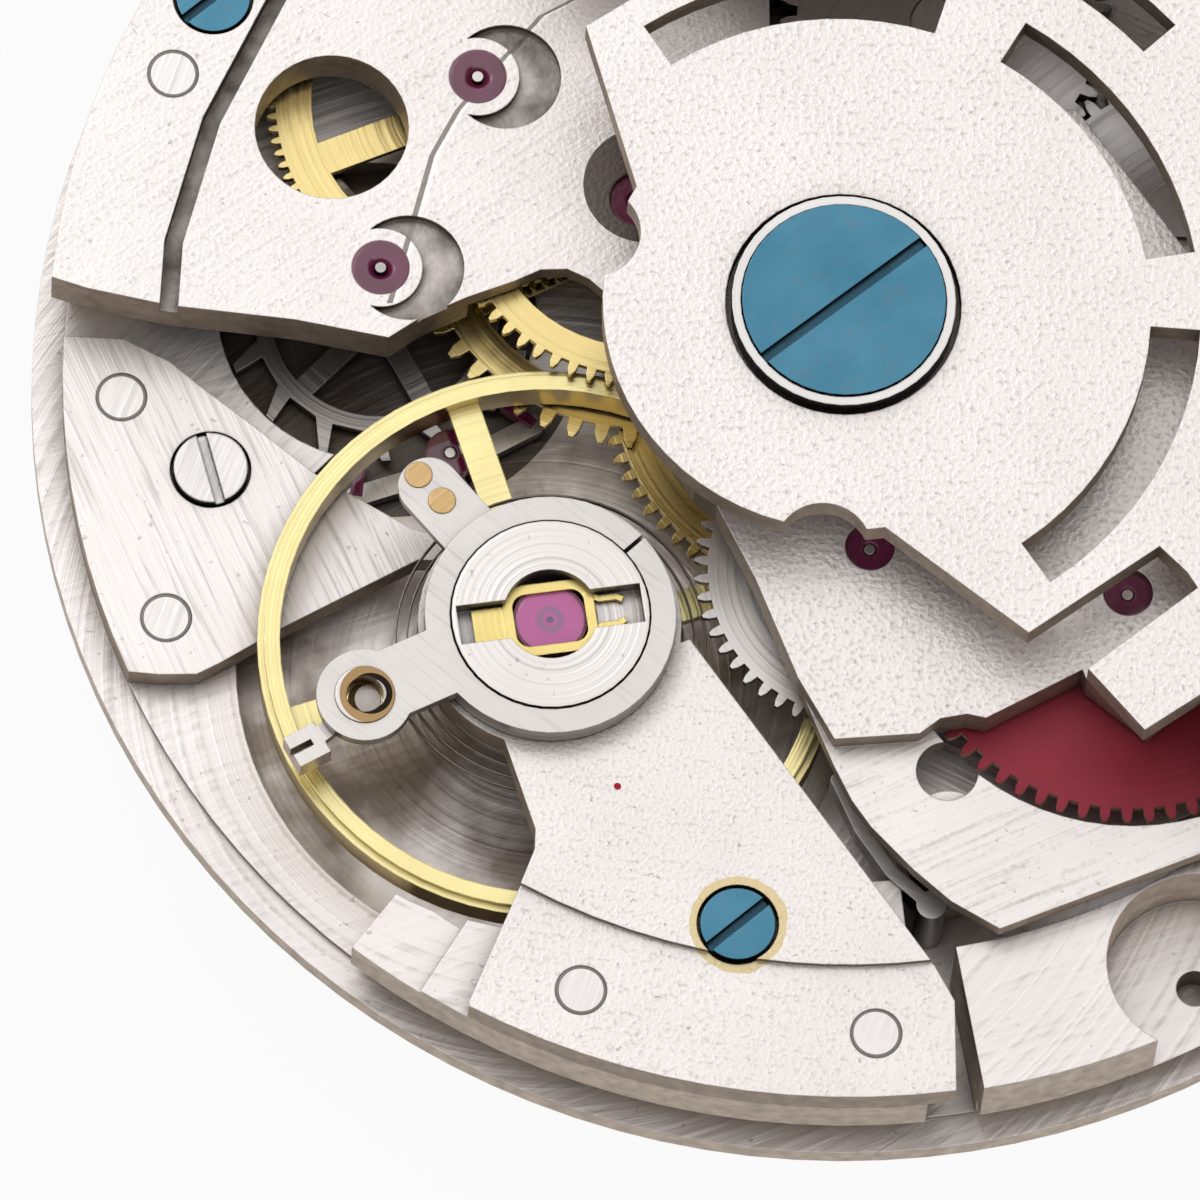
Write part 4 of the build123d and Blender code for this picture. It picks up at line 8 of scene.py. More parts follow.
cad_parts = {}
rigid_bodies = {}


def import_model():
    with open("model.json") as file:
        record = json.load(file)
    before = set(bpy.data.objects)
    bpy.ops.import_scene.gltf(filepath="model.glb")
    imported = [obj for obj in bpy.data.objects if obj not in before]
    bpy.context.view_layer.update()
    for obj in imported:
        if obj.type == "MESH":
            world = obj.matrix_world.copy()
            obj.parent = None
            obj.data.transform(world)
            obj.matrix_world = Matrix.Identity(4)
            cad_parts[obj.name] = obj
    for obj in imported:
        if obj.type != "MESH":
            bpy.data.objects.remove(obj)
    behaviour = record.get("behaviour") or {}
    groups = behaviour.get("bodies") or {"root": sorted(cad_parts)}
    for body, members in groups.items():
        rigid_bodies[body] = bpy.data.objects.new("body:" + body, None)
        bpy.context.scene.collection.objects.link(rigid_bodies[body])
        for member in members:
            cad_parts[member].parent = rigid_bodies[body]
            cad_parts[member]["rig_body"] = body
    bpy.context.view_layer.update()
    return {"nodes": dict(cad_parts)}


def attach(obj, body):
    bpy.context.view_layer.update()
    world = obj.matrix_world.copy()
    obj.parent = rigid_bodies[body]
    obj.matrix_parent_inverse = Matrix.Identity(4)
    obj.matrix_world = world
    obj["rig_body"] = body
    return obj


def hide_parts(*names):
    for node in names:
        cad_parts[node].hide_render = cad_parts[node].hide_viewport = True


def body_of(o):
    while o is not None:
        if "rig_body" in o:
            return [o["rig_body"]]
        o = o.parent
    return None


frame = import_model()
nodes = frame["nodes"]

# Main plate and the bars that lie flat on it: brass, milled and nickel plated. The tops keep the
# fine marks of the file and the cutter. Painted shade makes the milled walls brown and the tight
# corners near black, and the rounded edges are coloured a darker brown.
MM = 0.001
STROKE_STRETCH = 20.0
WALL_TILT = 0.7
EDGE_START = 0.02
EDGE_GAIN = 6.0


class Shade:
    """A value on its way through a finish. Sums written on it add the nodes."""

    def __init__(self, finish, socket):
        self.finish = finish
        self.socket = socket

    def math(self, operation, first, second=0.0):
        return self.finish.node("ShaderNodeMath", {"operation": operation}, {0: first, 1: second})

    def __add__(self, other):
        return self.math("ADD", self, other)

    def __sub__(self, other):
        return self.math("SUBTRACT", self, other)

    def __rsub__(self, other):
        return self.math("SUBTRACT", other, self)

    def __mul__(self, other):
        return self.math("MULTIPLY", self, other)

    def __lt__(self, other):
        return self.math("LESS_THAN", self, other)

    def __gt__(self, other):
        return self.math("GREATER_THAN", self, other)

    __radd__ = __add__

    def over(self, level, gain):
        """Only what rises above a level, made stronger."""
        return self.math("MAXIMUM", (self - level) * gain)

    def near(self, level, width):
        """1 in a narrow band round a level."""
        return self.math("ABSOLUTE", self - level) < width


class Finish:
    """One surface finish. Places in it are in millimetres."""

    def __init__(self, name, colour, roughness, metallic=1.0):
        self.material = bpy.data.materials.new(name)
        self.material.use_nodes = True
        self.material.diffuse_color = (*colour, 1.0)
        self.nodes = self.material.node_tree.nodes
        self.shader = self.nodes["Principled BSDF"]
        self.feed({"Base Color": (*colour, 1.0), "Roughness": roughness, "Metallic": metallic})
        spot = self.node("ShaderNodeTexCoord", output="Object")
        self.place = self.node("ShaderNodeVectorMath", {"operation": "SCALE"},
                               {0: spot, "Scale": 1 / MM})

    def node(self, kind, settings=None, values=None, output=0):
        """The one way in which a finish gets a node; "stops" gives the levels of a ramp."""
        made = self.nodes.new(kind)
        for name, value in (settings or {}).items():
            if name == "stops":
                ramp = made.color_ramp.elements
                while len(ramp) < len(value):
                    ramp.new(0.5)
                for element, (position, level) in zip(ramp, value):
                    element.position = position
                    element.color = (level, level, level, 1)
            else:
                setattr(made, name, value)
        for socket, value in (values or {}).items():
            self.link(made, socket, value)
        return Shade(self, made.outputs[output])

    def link(self, made, socket, value):
        if isinstance(value, Shade):
            self.material.node_tree.links.new(value.socket, made.inputs[socket])
        else:
            made.inputs[socket].default_value = value

    def feed(self, values):
        for socket, value in values.items():
            self.link(self.shader, socket, value)

    def mix(self, mask, first, second):
        """The first colour where the mask is 0, the second where it is 1."""
        return self.node("ShaderNodeMix", {"data_type": "RGBA"}, {0: mask, 6: first, 7: second}, 2)

    def noise(self, per_mm, detail=2.0, place=None):
        values = {"Vector": place or self.place, "Scale": per_mm, "Detail": detail}
        return self.node("ShaderNodeTexNoise", None, values)

    def strokes(self, angle, per_mm):
        """Straight marks that run along one direction."""
        turn = (0, 0, radians(angle))
        spread = self.node("ShaderNodeMapping", {"vector_type": "TEXTURE"},
                           {0: self.place, "Rotation": turn, "Scale": (STROKE_STRETCH, 1.0, 1.0)})
        return self.noise(per_mm, 3.0, spread)

    def along(self, axis):
        return self.node("ShaderNodeSeparateXYZ", None, {0: self.place}, axis)

    def reach(self, centre):
        """Distance from an upright axis."""
        flat = self.node("ShaderNodeVectorMath", {"operation": "MULTIPLY"},
                         {0: self.place, 1: (1, 1, 0)})
        way = self.node("ShaderNodeVectorMath", {"operation": "SUBTRACT"},
                        {0: flat, 1: (*centre, 0)})
        return self.node("ShaderNodeVectorMath", {"operation": "LENGTH"}, {0: way}, "Value")

    def rings(self, centre, per_mm):
        """Marks of the lathe round an upright axis."""
        return self.node("ShaderNodeTexNoise", {"noise_dimensions": "1D"},
                         {"W": self.reach(centre), "Scale": per_mm, "Detail": 3.0})

    def steep(self):
        """1 on walls, 0 on level faces."""
        facing = self.node("ShaderNodeTexCoord", output="Normal")
        up = self.node("ShaderNodeSeparateXYZ", None, {0: facing}, "Z")
        return up.math("ABSOLUTE", up) < WALL_TILT

    def corner(self, span):
        """Near 1 in slots and tight corners, where shade falls, and 0 out in the open. It drives
        the painted shade there.
        """
        return 1 - self.node("ShaderNodeAmbientOcclusion", {"samples": 4},
                             {"Distance": span * MM}, "AO")

    def bump(self, height, depth, edge):
        """Tool marks over edges rounded by the tumbling barrel. Gives a mask of those edges."""
        soft = self.node("ShaderNodeBevel", {"samples": 4}, {"Radius": edge * MM})
        self.feed({"Normal": self.node("ShaderNodeBump", None, {
            "Height": height, "Distance": depth * MM, "Strength": 1.0, "Normal": soft})})
        flat = self.node("ShaderNodeNewGeometry", output="Normal")
        same = self.node("ShaderNodeVectorMath", {"operation": "DOT_PRODUCT"},
                         {0: soft, 1: flat}, "Value")
        return (1 - same).over(EDGE_START, EDGE_GAIN)


def wear(*pieces, finish):
    """Puts one finish on pieces of the frame."""
    for piece in pieces:
        mesh = nodes[piece].data
        if not mesh.materials:
            mesh.materials.append(None)
        for index in range(len(mesh.materials)):
            mesh.materials[index] = finish.material


def toned(tint, share):
    """A tint made darker or lighter."""
    return (*[min(part * share, 1.0) for part in tint], 1.0)


# Painted shade: brown for the walls, near black for tight corners found by ambient occlusion.
PLATE_WALL_SHADE = (0.15, 0.115, 0.085)
DUST_SPECK = (0.24, 0.19, 0.14, 1)
EDGE_BROWN = (0.30, 0.25, 0.20, 1)
CORNER_PAINTED_SHADE = (0.045, 0.034, 0.026, 1)


def plated(name, tint, marks, depth, roughness=0.36, edge=0.03, wall_shade=PLATE_WALL_SHADE, paint=None):
    """Nickel plate with painted shade on its walls and in tight corners. marks gives the height of
    the tool marks, paint adds what one piece has.
    """
    finish = Finish(name, tint, roughness)
    height = marks(finish)
    rim = finish.bump(height, depth, edge)
    steep = finish.steep()
    top = finish.mix(finish.noise(0.4, 4.0), toned(tint, 0.88), toned(tint, 1.05))
    top = finish.mix(height.over(0.54, 3.2), top, toned(tint, 0.5))
    top = finish.mix((finish.noise(7.0, 3.0) > 0.7) * 0.4, top, DUST_SPECK)
    if paint:
        top = paint(finish, top)
    # Painted shade on the walls, in brown.
    wall_shade_tone = finish.mix(finish.noise(4.0, 4.0), toned(wall_shade, 0.7), toned(wall_shade, 2.6))
    shade = finish.mix(steep * 0.92, top, wall_shade_tone)
    # The rounded edges are coloured a darker brown.
    shade = finish.mix(rim * 0.3, shade, EDGE_BROWN)
    # Painted shade in tight corners and slots, from ambient occlusion.
    shade = finish.mix(finish.corner(0.45).over(0.12, 1.25), shade, CORNER_PAINTED_SHADE)
    finish.feed({"Base Color": shade, "Roughness": roughness + height * 0.14 + steep * 0.12})
    return finish


NICKEL = (0.82, 0.77, 0.745)
CENTRE = (0.0, 0.0)
BALANCE = (-4.68, -4.78)
DECK_LEVEL = 1.4
DECK_RADIUS = 12.0
ESCAPE_PIT = (-7.2, 1.2)
PIT_RADIUS = 3.2
DEEP_FLOOR_BROWN = (0.17, 0.115, 0.07, 1)
DEEP_FLOOR_PALE = (0.98, 0.91, 0.87, 1)
PIT_BLACK = (0.05, 0.036, 0.026, 1)


def milled_floor(finish, top):
    """The floors under the deck were cut first. Their colour is mottled between a dark brown and a
    pale tone, and the pit of the escape wheel is made nearly black."""
    deep = (finish.along("Z") < DECK_LEVEL) * (finish.reach(CENTRE) < DECK_RADIUS)
    floor_mottle = finish.mix(finish.noise(0.55, 4.0).over(0.38, 4.5), DEEP_FLOOR_BROWN, DEEP_FLOOR_PALE)
    top = finish.mix(deep * 0.75, top, floor_mottle)
    return finish.mix(deep * (finish.reach(ESCAPE_PIT) < PIT_RADIUS) * 0.85, top, PIT_BLACK)


wear("main_plate", finish=plated(
    "plate nickel", NICKEL, lambda f: f.rings(BALANCE, 6.0) * 0.6 + f.strokes(20, 9.0) * 0.42,
    depth=0.014, wall_shade=(0.24, 0.195, 0.155), paint=milled_floor))
wear("pallet_bridge", finish=plated(
    "fork bar nickel", NICKEL, lambda f: f.strokes(-66, 12.0), depth=0.008))
wear("automatic_plate", "small_bridge", "barrel_bridge", finish=plated(
    "brushed nickel", NICKEL, lambda f: f.strokes(-27, 12.0), depth=0.008))

# Train bridge: one thick nickel plated bar over the wheels, blasted and drawn lightly with the
# stone. A fine step across it is painted as a shadow line with a highlight beside it. Half-moon
# cuts beside the two jewels let a drop of oil in, and painted shade darkens the floors of the cuts.
STEP_LINE = ((-7.23, 0.76), (-6.69, 2.78), (-6.54, 3.34),
             (-6.12, 4.13), (-4.76, 5.79), (-4.24, 6.08))
STEP_SHADOW = (0.10, 0.08, 0.06, 1)
STEP_LIGHT = (0.95, 0.93, 0.92, 1)
BRIDGE_LEVEL = 3.4
CUT_FLOOR_SHADE_DEEP = (0.05, 0.04, 0.03, 1)
CUT_FLOOR_SHADE_PALE = (0.60, 0.54, 0.50, 1)
THIRD_CUP = (-3.09, 2.85)
CUP_RADIUS = 1.0
CUP_PAINTED_SHADE = (0.06, 0.042, 0.03, 1)


def stepped(finish, top):
    """A painted shadow line and highlight line where a fine step crosses the bridge, and painted
    shade on the floors of the cuts and in the cup by the third wheel.
    """
    (left, low), (right, high) = STEP_LINE[0], STEP_LINE[-1]
    stops = [((y - low) / (high - low), (x - left) / (right - left)) for x, y in STEP_LINE]
    share = (finish.along("Y") - low) * (1 / (high - low))
    line = finish.node("ShaderNodeValToRGB", {"stops": stops}, {0: share})
    offset = finish.along("X") - (line * (right - left) + left)
    inside = (share > 0.0) * (share < 1.0)
    # Painted shadow and painted highlight along the line of the step.
    top = finish.mix(offset.near(0.0, 0.045) * inside * 0.75, top, STEP_SHADOW)
    top = finish.mix(offset.near(0.085, 0.03) * inside * 0.6, top, STEP_LIGHT)
    cut = finish.along("Z") < BRIDGE_LEVEL - 0.03
    # Painted shade on the floors of the cuts, mottled.
    floor = finish.mix(finish.noise(1.6, 2.0).over(0.3, 2.2), CUT_FLOOR_SHADE_DEEP, CUT_FLOOR_SHADE_PALE)
    top = finish.mix(cut * 0.85, top, floor)
    # Painted shade in the cup by the third wheel's jewel.
    return finish.mix((finish.reach(THIRD_CUP) < CUP_RADIUS) * 0.9, top, CUP_PAINTED_SHADE)


wear("train_bridge", finish=plated(
    "train bridge nickel", NICKEL, lambda f: f.noise(13.0, 3.0) * 0.6 + f.strokes(35, 10.0) * 0.42,
    depth=0.012, paint=stepped))

# Steady pins, posts and the steel screws: turned rod, its end faced flat and left bright. A dark
# line of old oil stands in the joint round each pin.
STEEL_WALL_SHADE = (0.15, 0.125, 0.105, 1)
EDGE_DARK_LINE = (0.10, 0.08, 0.06, 1)
SLOT_PAINTED_SHADE = (0.03, 0.026, 0.022, 1)


def turned(name, tint, marks, roughness=0.24, depth=0.004, edge=0.02, line=0.35, paint=None):
    """Hardened steel, stoned and polished, with painted shade where it turns down and in its slots.
    line is the strength of the dark line along its edges."""
    finish = Finish(name, tint, roughness)
    height = marks(finish)
    rim = finish.bump(height, depth, edge)
    shade = finish.mix(finish.noise(0.9, 3.0), toned(tint, 0.86), toned(tint, 1.08))
    shade = finish.mix(height.over(0.55, 2.4), shade, toned(tint, 0.55))
    if paint:
        shade = paint(finish, shade)
    # Painted shade on the walls.
    shade = finish.mix(finish.steep() * 0.75, shade, STEEL_WALL_SHADE)
    # A dark line along the rounded edges.
    shade = finish.mix(rim * line, shade, EDGE_DARK_LINE)
    # Painted shade in slots and tight corners, from ambient occlusion.
    shade = finish.mix(finish.corner(0.3).over(0.2, 1.3), shade, SLOT_PAINTED_SHADE)
    finish.feed({"Base Color": shade, "Roughness": roughness + height * 0.16})
    return finish


STEEL = (0.66, 0.64, 0.62)
PIN_RADIUS = 0.42
PINS = ((-10.74, 4.73), (-1.56, 11.70), (-11.55, -0.34),
        (-10.82, -4.15), (-4.21, -10.97), (0.49, -11.67))
PIN_OIL = (0.06, 0.045, 0.035, 1)


def oiled(finish, top):
    """The dark joint line round each steady pin."""
    for pin in PINS:
        joint = finish.reach(pin).near(PIN_RADIUS - 0.03, 0.032)
        top = finish.mix(joint * 0.8, top, PIN_OIL)
    return top


wear("pins_and_posts", finish=turned(
    "faced pin", (0.80, 0.76, 0.74), lambda f: f.strokes(70, 10.0),
    roughness=0.3, depth=0.006, edge=0.06, line=0.9, paint=oiled))
wear("steel_screws", finish=turned(
    "faced screw", (0.78, 0.745, 0.725), lambda f: f.strokes(70, 10.0),
    roughness=0.3, depth=0.008, edge=0.05, line=0.8))

# Blued screws: hardened steel heated to a clear blue, with a polished top and a sawn slot. The
# blue wears off towards brown in small spots. Painted shade darkens the walls and the slot.
BLUE_DEEP = (0.045, 0.18, 0.28, 1)
BLUE_PALE = (0.115, 0.295, 0.41, 1)
BLUE_SPOT = (0.13, 0.15, 0.14, 1)
BLUE_WALL_SHADE = (0.012, 0.018, 0.025, 1)
BLUE_EDGE = (0.05, 0.10, 0.13, 1)
BLUE_SLOT_PAINTED_SHADE = (0.012, 0.012, 0.014, 1)
blued = Finish("blued steel", (0.09, 0.27, 0.38), 0.3)
rim = blued.bump(blued.strokes(42, 8.0), 0.004, 0.03)
rust = blued.noise(5.0, 5.0).over(0.56, 4.0)
shade = blued.mix(blued.noise(0.9, 3.0), BLUE_DEEP, BLUE_PALE)
shade = blued.mix(rust * 0.5, shade, BLUE_SPOT)
# Painted shade on the walls.
shade = blued.mix(blued.steep(), shade, BLUE_WALL_SHADE)
shade = blued.mix(rim * 0.5, shade, BLUE_EDGE)
# Painted shade in the slot, from ambient occlusion.
shade = blued.mix(blued.corner(0.35).over(0.14, 2.6), shade, BLUE_SLOT_PAINTED_SHADE)
blued.feed({"Base Color": shade, "Roughness": 0.26 + rust * 0.2})
wear("bridge_screws", "rotor_screw", finish=blued)

# Jewels: synthetic ruby, ground and polished, pressed into the bridges. They are a deep red-violet
# with a painted highlight on the bevel round the rim.
RUBY_BEND = 1.76
RUBY_DEEP = (0.085, 0.006, 0.03, 1)
RUBY_PALE = (0.26, 0.02, 0.10, 1)
RUBY_RIM_HIGHLIGHT = (0.36, 0.08, 0.20, 1)
ruby = Finish("ruby", (0.12, 0.008, 0.035), 0.07, 0.0)
rim = ruby.bump(ruby.noise(3.0), 0.001, 0.09)
tone = ruby.mix(ruby.noise(2.0, 3.0), RUBY_DEEP, RUBY_PALE)
# A painted highlight on the bevel round the rim.
ruby.feed({"Base Color": ruby.mix(rim * 0.6, tone, RUBY_RIM_HIGHLIGHT), "Coat Weight": 0.5, "IOR": RUBY_BEND})
wear("jewels", "pallet_stones", finish=ruby)

# Cap jewel of the balance: a clearer, pinker ruby, polished flat. The jewel below shows through it
# as a darker ring with the pivot in its middle.
CAP_DEEP = (0.60, 0.05, 0.32, 1)
CAP_PALE = (0.78, 0.16, 0.52, 1)
HOLE_RING = (0.42, 0.14, 0.34, 1)
HOLE_RING_RADIUS = 0.17
PIVOT_DARK = (0.16, 0.08, 0.20, 1)
PIVOT_RADIUS = 0.06
CAP_OUTER = (0.20, 0.012, 0.035, 1)
CAP_OUTER_RADIUS = 0.55
CAP_RIM = (0.34, 0.02, 0.13, 1)
cap = Finish("cap ruby", (0.62, 0.07, 0.34), 0.06, 0.0)
reach = cap.reach(BALANCE)
rim = cap.bump(cap.noise(3.0), 0.001, 0.16)
tone = cap.mix(cap.noise(1.4), CAP_DEEP, CAP_PALE)
tone = cap.mix(reach.near(HOLE_RING_RADIUS, 0.06), tone, HOLE_RING)
tone = cap.mix(reach < PIVOT_RADIUS, tone, PIVOT_DARK)
tone = cap.mix(reach > CAP_OUTER_RADIUS, tone, CAP_OUTER)
cap.feed({"Base Color": cap.mix(rim * 0.5, tone, CAP_RIM), "Coat Weight": 0.7, "IOR": RUBY_BEND})
wear("upper_shock_jewels", finish=cap)

# Going train: brass wheels, stamped, crossed out and gilt, each riveted to a hardened steel
# pinion. The escape wheel is all of steel.
BRASS = (0.88, 0.70, 0.31)
GILT_CORNER_PAINTED_SHADE = (0.10, 0.055, 0.012, 1)


def gilt(name, centre, pinion=0.0, tint=BRASS, edge=0.02, paint=None):
    """Gilt brass with the rings of the lathe, painted shade on its walls and in tight corners, and
    a painted highlight on its rounded edges. Inside the pinion radius it is steel.
    """
    finish = Finish(name, tint, 0.26)
    rings = finish.rings(centre, 9.0)
    rim = finish.bump(rings, 0.006, edge)
    shade = finish.mix(finish.noise(1.2, 3.0), toned(tint, 0.84), toned(tint, 1.14))
    shade = finish.mix(rings.over(0.55, 2.0), shade, toned(tint, 0.7))
    if pinion:
        shade = finish.mix(finish.reach(centre) < pinion, shade, toned(STEEL, 1.0))
    if paint:
        shade = paint(finish, shade)
    # Painted shade on the walls.
    wall_shade = (tint[0] * 0.36, tint[1] * 0.30, tint[2] * 0.22, 1)
    shade = finish.mix(finish.steep() * 0.8, shade, wall_shade)
    # A painted highlight on the rounded edges.
    shade = finish.mix(rim * 0.25, shade, toned(tint, 1.25))
    # Painted shade in tight corners, from ambient occlusion.
    shade = finish.mix(finish.corner(0.5).over(0.25, 1.1), shade, GILT_CORNER_PAINTED_SHADE)
    finish.feed({"Base Color": shade, "Roughness": 0.2 + rings * 0.16})
    return finish


THIRD = (-3.195, 2.606)
FOURTH = (-5.791, 4.723)
ESCAPE = (-7.378, 1.382)
BARREL = (6.014, 2.189)
for node, centre, pinion in (("centre_wheel", CENTRE, 0.9), ("third_wheel", THIRD, 0.55),
                             ("fourth_wheel", FOURTH, 0.5), ("barrel", BARREL, 0.0)):
    wear(node, finish=gilt(node.replace("_", " ") + " gilt", centre, pinion))
wear("escape_wheel", finish=turned(
    "escape steel", (0.50, 0.47, 0.45), lambda f: f.rings(ESCAPE, 10.0)))
wear("seconds_pinion", "mainspring", "barrel_arbor", finish=turned(
    "train steel", STEEL, lambda f: f.rings(CENTRE, 10.0)))

# Pallet fork: a small steel lever with two ruby stones, stoned flat along its length. It is
# poised between the escape wheel and the balance.
wear("pallet_fork", finish=turned(
    "fork steel", (0.68, 0.65, 0.64), lambda f: f.strokes(-66, 14.0)))

# Balance: a free rim of gilt beryllium bronze on four arms, turned and polished. The staff and
# the roller under it are hardened steel.
GOLD = (0.99, 0.81, 0.40)
STAFF_RADIUS = 0.32
wear("balance_wheel", finish=gilt("balance gilt", BALANCE, STAFF_RADIUS, GOLD, edge=0.035))
wear("balance_staff", "roller", finish=turned(
    "staff steel", STEEL, lambda f: f.rings(BALANCE, 12.0)))

# Hairspring: a flat strip of a dark alloy, wound as an even spiral from the collet and pinned at
# its outer end to the stud. Seen from above it is only a few hair-thin lines.
SPRING_TURNS = 11.0
SPRING_INNER = 0.62
SPRING_OUTER = 2.62
SPRING_THICKNESS = 0.03
SPRING_HEIGHT = 0.1
SPRING_LEVEL = 2.68
SPRING_START = radians(205.0)
SPRING_POINTS = 64


def socket(tree, name):
    """The identifier behind a tree's input."""
    return next(item.identifier for item in tree.interface.items_tree if item.name == name)


def spiral_tree():
    """A flat strip swept along a spiral."""
    tree = bpy.data.node_groups.new("spiral strip", "GeometryNodeTree")
    face = tree.interface
    face.new_socket("Geometry", in_out="OUTPUT", socket_type="NodeSocketGeometry")
    for name in ("Turns", "Inner", "Outer", "Thickness", "Height"):
        face.new_socket(name, in_out="INPUT", socket_type="NodeSocketFloat")
    face.new_socket("Finish", in_out="INPUT", socket_type="NodeSocketMaterial")
    entry = tree.nodes.new("NodeGroupInput")
    leave = tree.nodes.new("NodeGroupOutput")
    spiral = tree.nodes.new("GeometryNodeCurveSpiral")
    strip = tree.nodes.new("GeometryNodeCurvePrimitiveQuadrilateral")
    sweep = tree.nodes.new("GeometryNodeCurveToMesh")
    shade = tree.nodes.new("GeometryNodeSetMaterial")
    real = tree.nodes.new("GeometryNodeRealizeInstances")
    spiral.inputs["Resolution"].default_value = SPRING_POINTS
    spiral.inputs["Height"].default_value = 0.0
    sweep.inputs["Fill Caps"].default_value = True
    join = tree.links.new
    join(entry.outputs["Turns"], spiral.inputs["Rotations"])
    join(entry.outputs["Inner"], spiral.inputs["Start Radius"])
    join(entry.outputs["Outer"], spiral.inputs["End Radius"])
    join(entry.outputs["Thickness"], strip.inputs["Width"])
    join(entry.outputs["Height"], strip.inputs["Height"])
    join(spiral.outputs["Curve"], sweep.inputs["Curve"])
    join(strip.outputs["Curve"], sweep.inputs["Profile Curve"])
    join(sweep.outputs["Mesh"], real.inputs["Geometry"])
    join(real.outputs["Geometry"], shade.inputs["Geometry"])
    join(entry.outputs["Finish"], shade.inputs["Material"])
    join(shade.outputs["Geometry"], leave.inputs["Geometry"])
    return tree


def grown(name, tree, values):
    """Runs a tree on an empty mesh and keeps the result as a plain mesh."""
    seed = bpy.data.objects.new(name + " seed", bpy.data.meshes.new(name + " seed"))
    bpy.context.scene.collection.objects.link(seed)
    modifier = seed.modifiers.new("grow", "NODES")
    modifier.node_group = tree
    for key, value in values.items():
        modifier[socket(tree, key)] = value
    seed.update_tag()
    bpy.context.view_layer.update()
    shown = seed.evaluated_get(bpy.context.evaluated_depsgraph_get())
    mesh = bpy.data.meshes.new_from_object(shown)
    mesh.name = name
    made = bpy.data.objects.new(name, mesh)
    bpy.data.objects.remove(seed)
    bpy.context.scene.collection.objects.link(made)
    return made


def carry(piece, centre, level, turn=0.0):
    """Moves a mesh to its place about an upright axis; the object itself stays at the origin."""
    spot = Matrix.Translation((centre[0] * MM, centre[1] * MM, level * MM))
    piece.data.transform(spot @ Matrix.Rotation(turn, 4, "Z"))


strip_finish = turned(
    "hairspring alloy", (0.24, 0.215, 0.195), lambda f: f.noise(4.0), roughness=0.3)
spring = grown("hairspring_strip", spiral_tree(), {
    "Turns": SPRING_TURNS, "Inner": SPRING_INNER * MM, "Outer": SPRING_OUTER * MM,
    "Thickness": SPRING_THICKNESS * MM, "Height": SPRING_HEIGHT * MM,
    "Finish": strip_finish.material})
carry(spring, BALANCE, SPRING_LEVEL, SPRING_START)
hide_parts("hairspring")
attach(spring, "balance")

# Balance cock: a thick nickel plated arm on one foot, blasted and drawn lightly with the stone.
# Old lacquer stays yellow round its screw, and one red fleck of it lies on the arm.
COCK_SCREW = (-1.70, -9.87)
LACQUER_RADIUS = 0.80
OLD_LACQUER = (0.62, 0.47, 0.16, 1)
FLECK = (-3.61, -7.55)
FLECK_RADIUS = 0.06
FLECK_RED = (0.32, 0.02, 0.03, 1)


def lacquered(finish, top):
    """The uneven ring of lacquer round the screw, and the fleck."""
    edge = finish.reach(COCK_SCREW) + finish.noise(3.0, 3.0) * 0.16
    top = finish.mix(edge.near(LACQUER_RADIUS, 0.08) * 0.7, top, OLD_LACQUER)
    return finish.mix(finish.reach(FLECK) < FLECK_RADIUS, top, FLECK_RED)


wear("balance_cock", finish=plated(
    "cock nickel", NICKEL, lambda f: f.noise(14.0, 3.0) * 0.75 + f.strokes(170, 12.0) * 0.28,
    depth=0.011, paint=lacquered))

# Index and stud arm: two flat steel rings, one on the other, clipped round the setting and free to
# turn. The index holds two brass curb pins, the upper ring ends in the brown boss of the stud.
ARM = (0.71, 0.67, 0.64)
wear("regulator", "stud_carrier", finish=turned(
    "index steel", ARM, lambda f: f.strokes(140, 14.0),
    roughness=0.28, depth=0.004, edge=0.025, line=0.25))
wear("curb_pins", finish=gilt("curb brass", BALANCE, tint=(0.62, 0.42, 0.20), edge=0.04))
EYELET = (-7.57, -6.16)
EYELET_RADIUS = 0.5
EYELET_BORE = 0.3
STUD_STEEL = (0.50, 0.46, 0.43, 1)
BORE_DARK = (0.02, 0.016, 0.012, 1)


def eyelet(finish, top):
    """A brown ring round a dark hole with the steel of the stud in it. The fork block beyond it
    is plain steel."""
    reach = finish.reach(EYELET)
    top = finish.mix(reach < EYELET_RADIUS, toned(ARM, 1.05), top)
    top = finish.mix(reach < EYELET_BORE, top, STUD_STEEL)
    return finish.mix(reach.near(EYELET_BORE, 0.05), top, BORE_DARK)


wear("hairspring_stud", finish=gilt(
    "stud brass", EYELET, tint=(0.40, 0.255, 0.12), edge=0.03, paint=eyelet))

# Shock setting: a turned steel block that carries the upper jewels, with a slot sawn across it.
# Its face keeps the rings of the lathe.
wear("shock_settings", finish=plated(
    "setting steel", (0.80, 0.76, 0.73), lambda f: f.rings(BALANCE, 8.0),
    depth=0.012, roughness=0.28, wall_shade=(0.10, 0.085, 0.07)))

# Shock spring: a flat gilt loop like a lyre, bent round the cap jewel and held in the slot by a
# broad tongue at one end and two thin prongs at the other.
LYRE_ANGLE = radians(8.0)
LYRE_HALF_LENGTH = 0.66
LYRE_HALF_WIDTH = 0.53
LYRE_STRIP = 0.16
LYRE_CORNER = 0.3
LYRE_LOW = 3.685
LYRE_TOP = 3.765
LYRE_INSET = 0.004
TONGUE_START = -0.73
TONGUE_END = -1.25
TONGUE_WIDTH = 0.58
PRONG_PATH = ((0.60, 0.34), (0.82, 0.23), (1.10, 0.23), (1.20, 0.17))
PRONG_WIDTH = 0.1


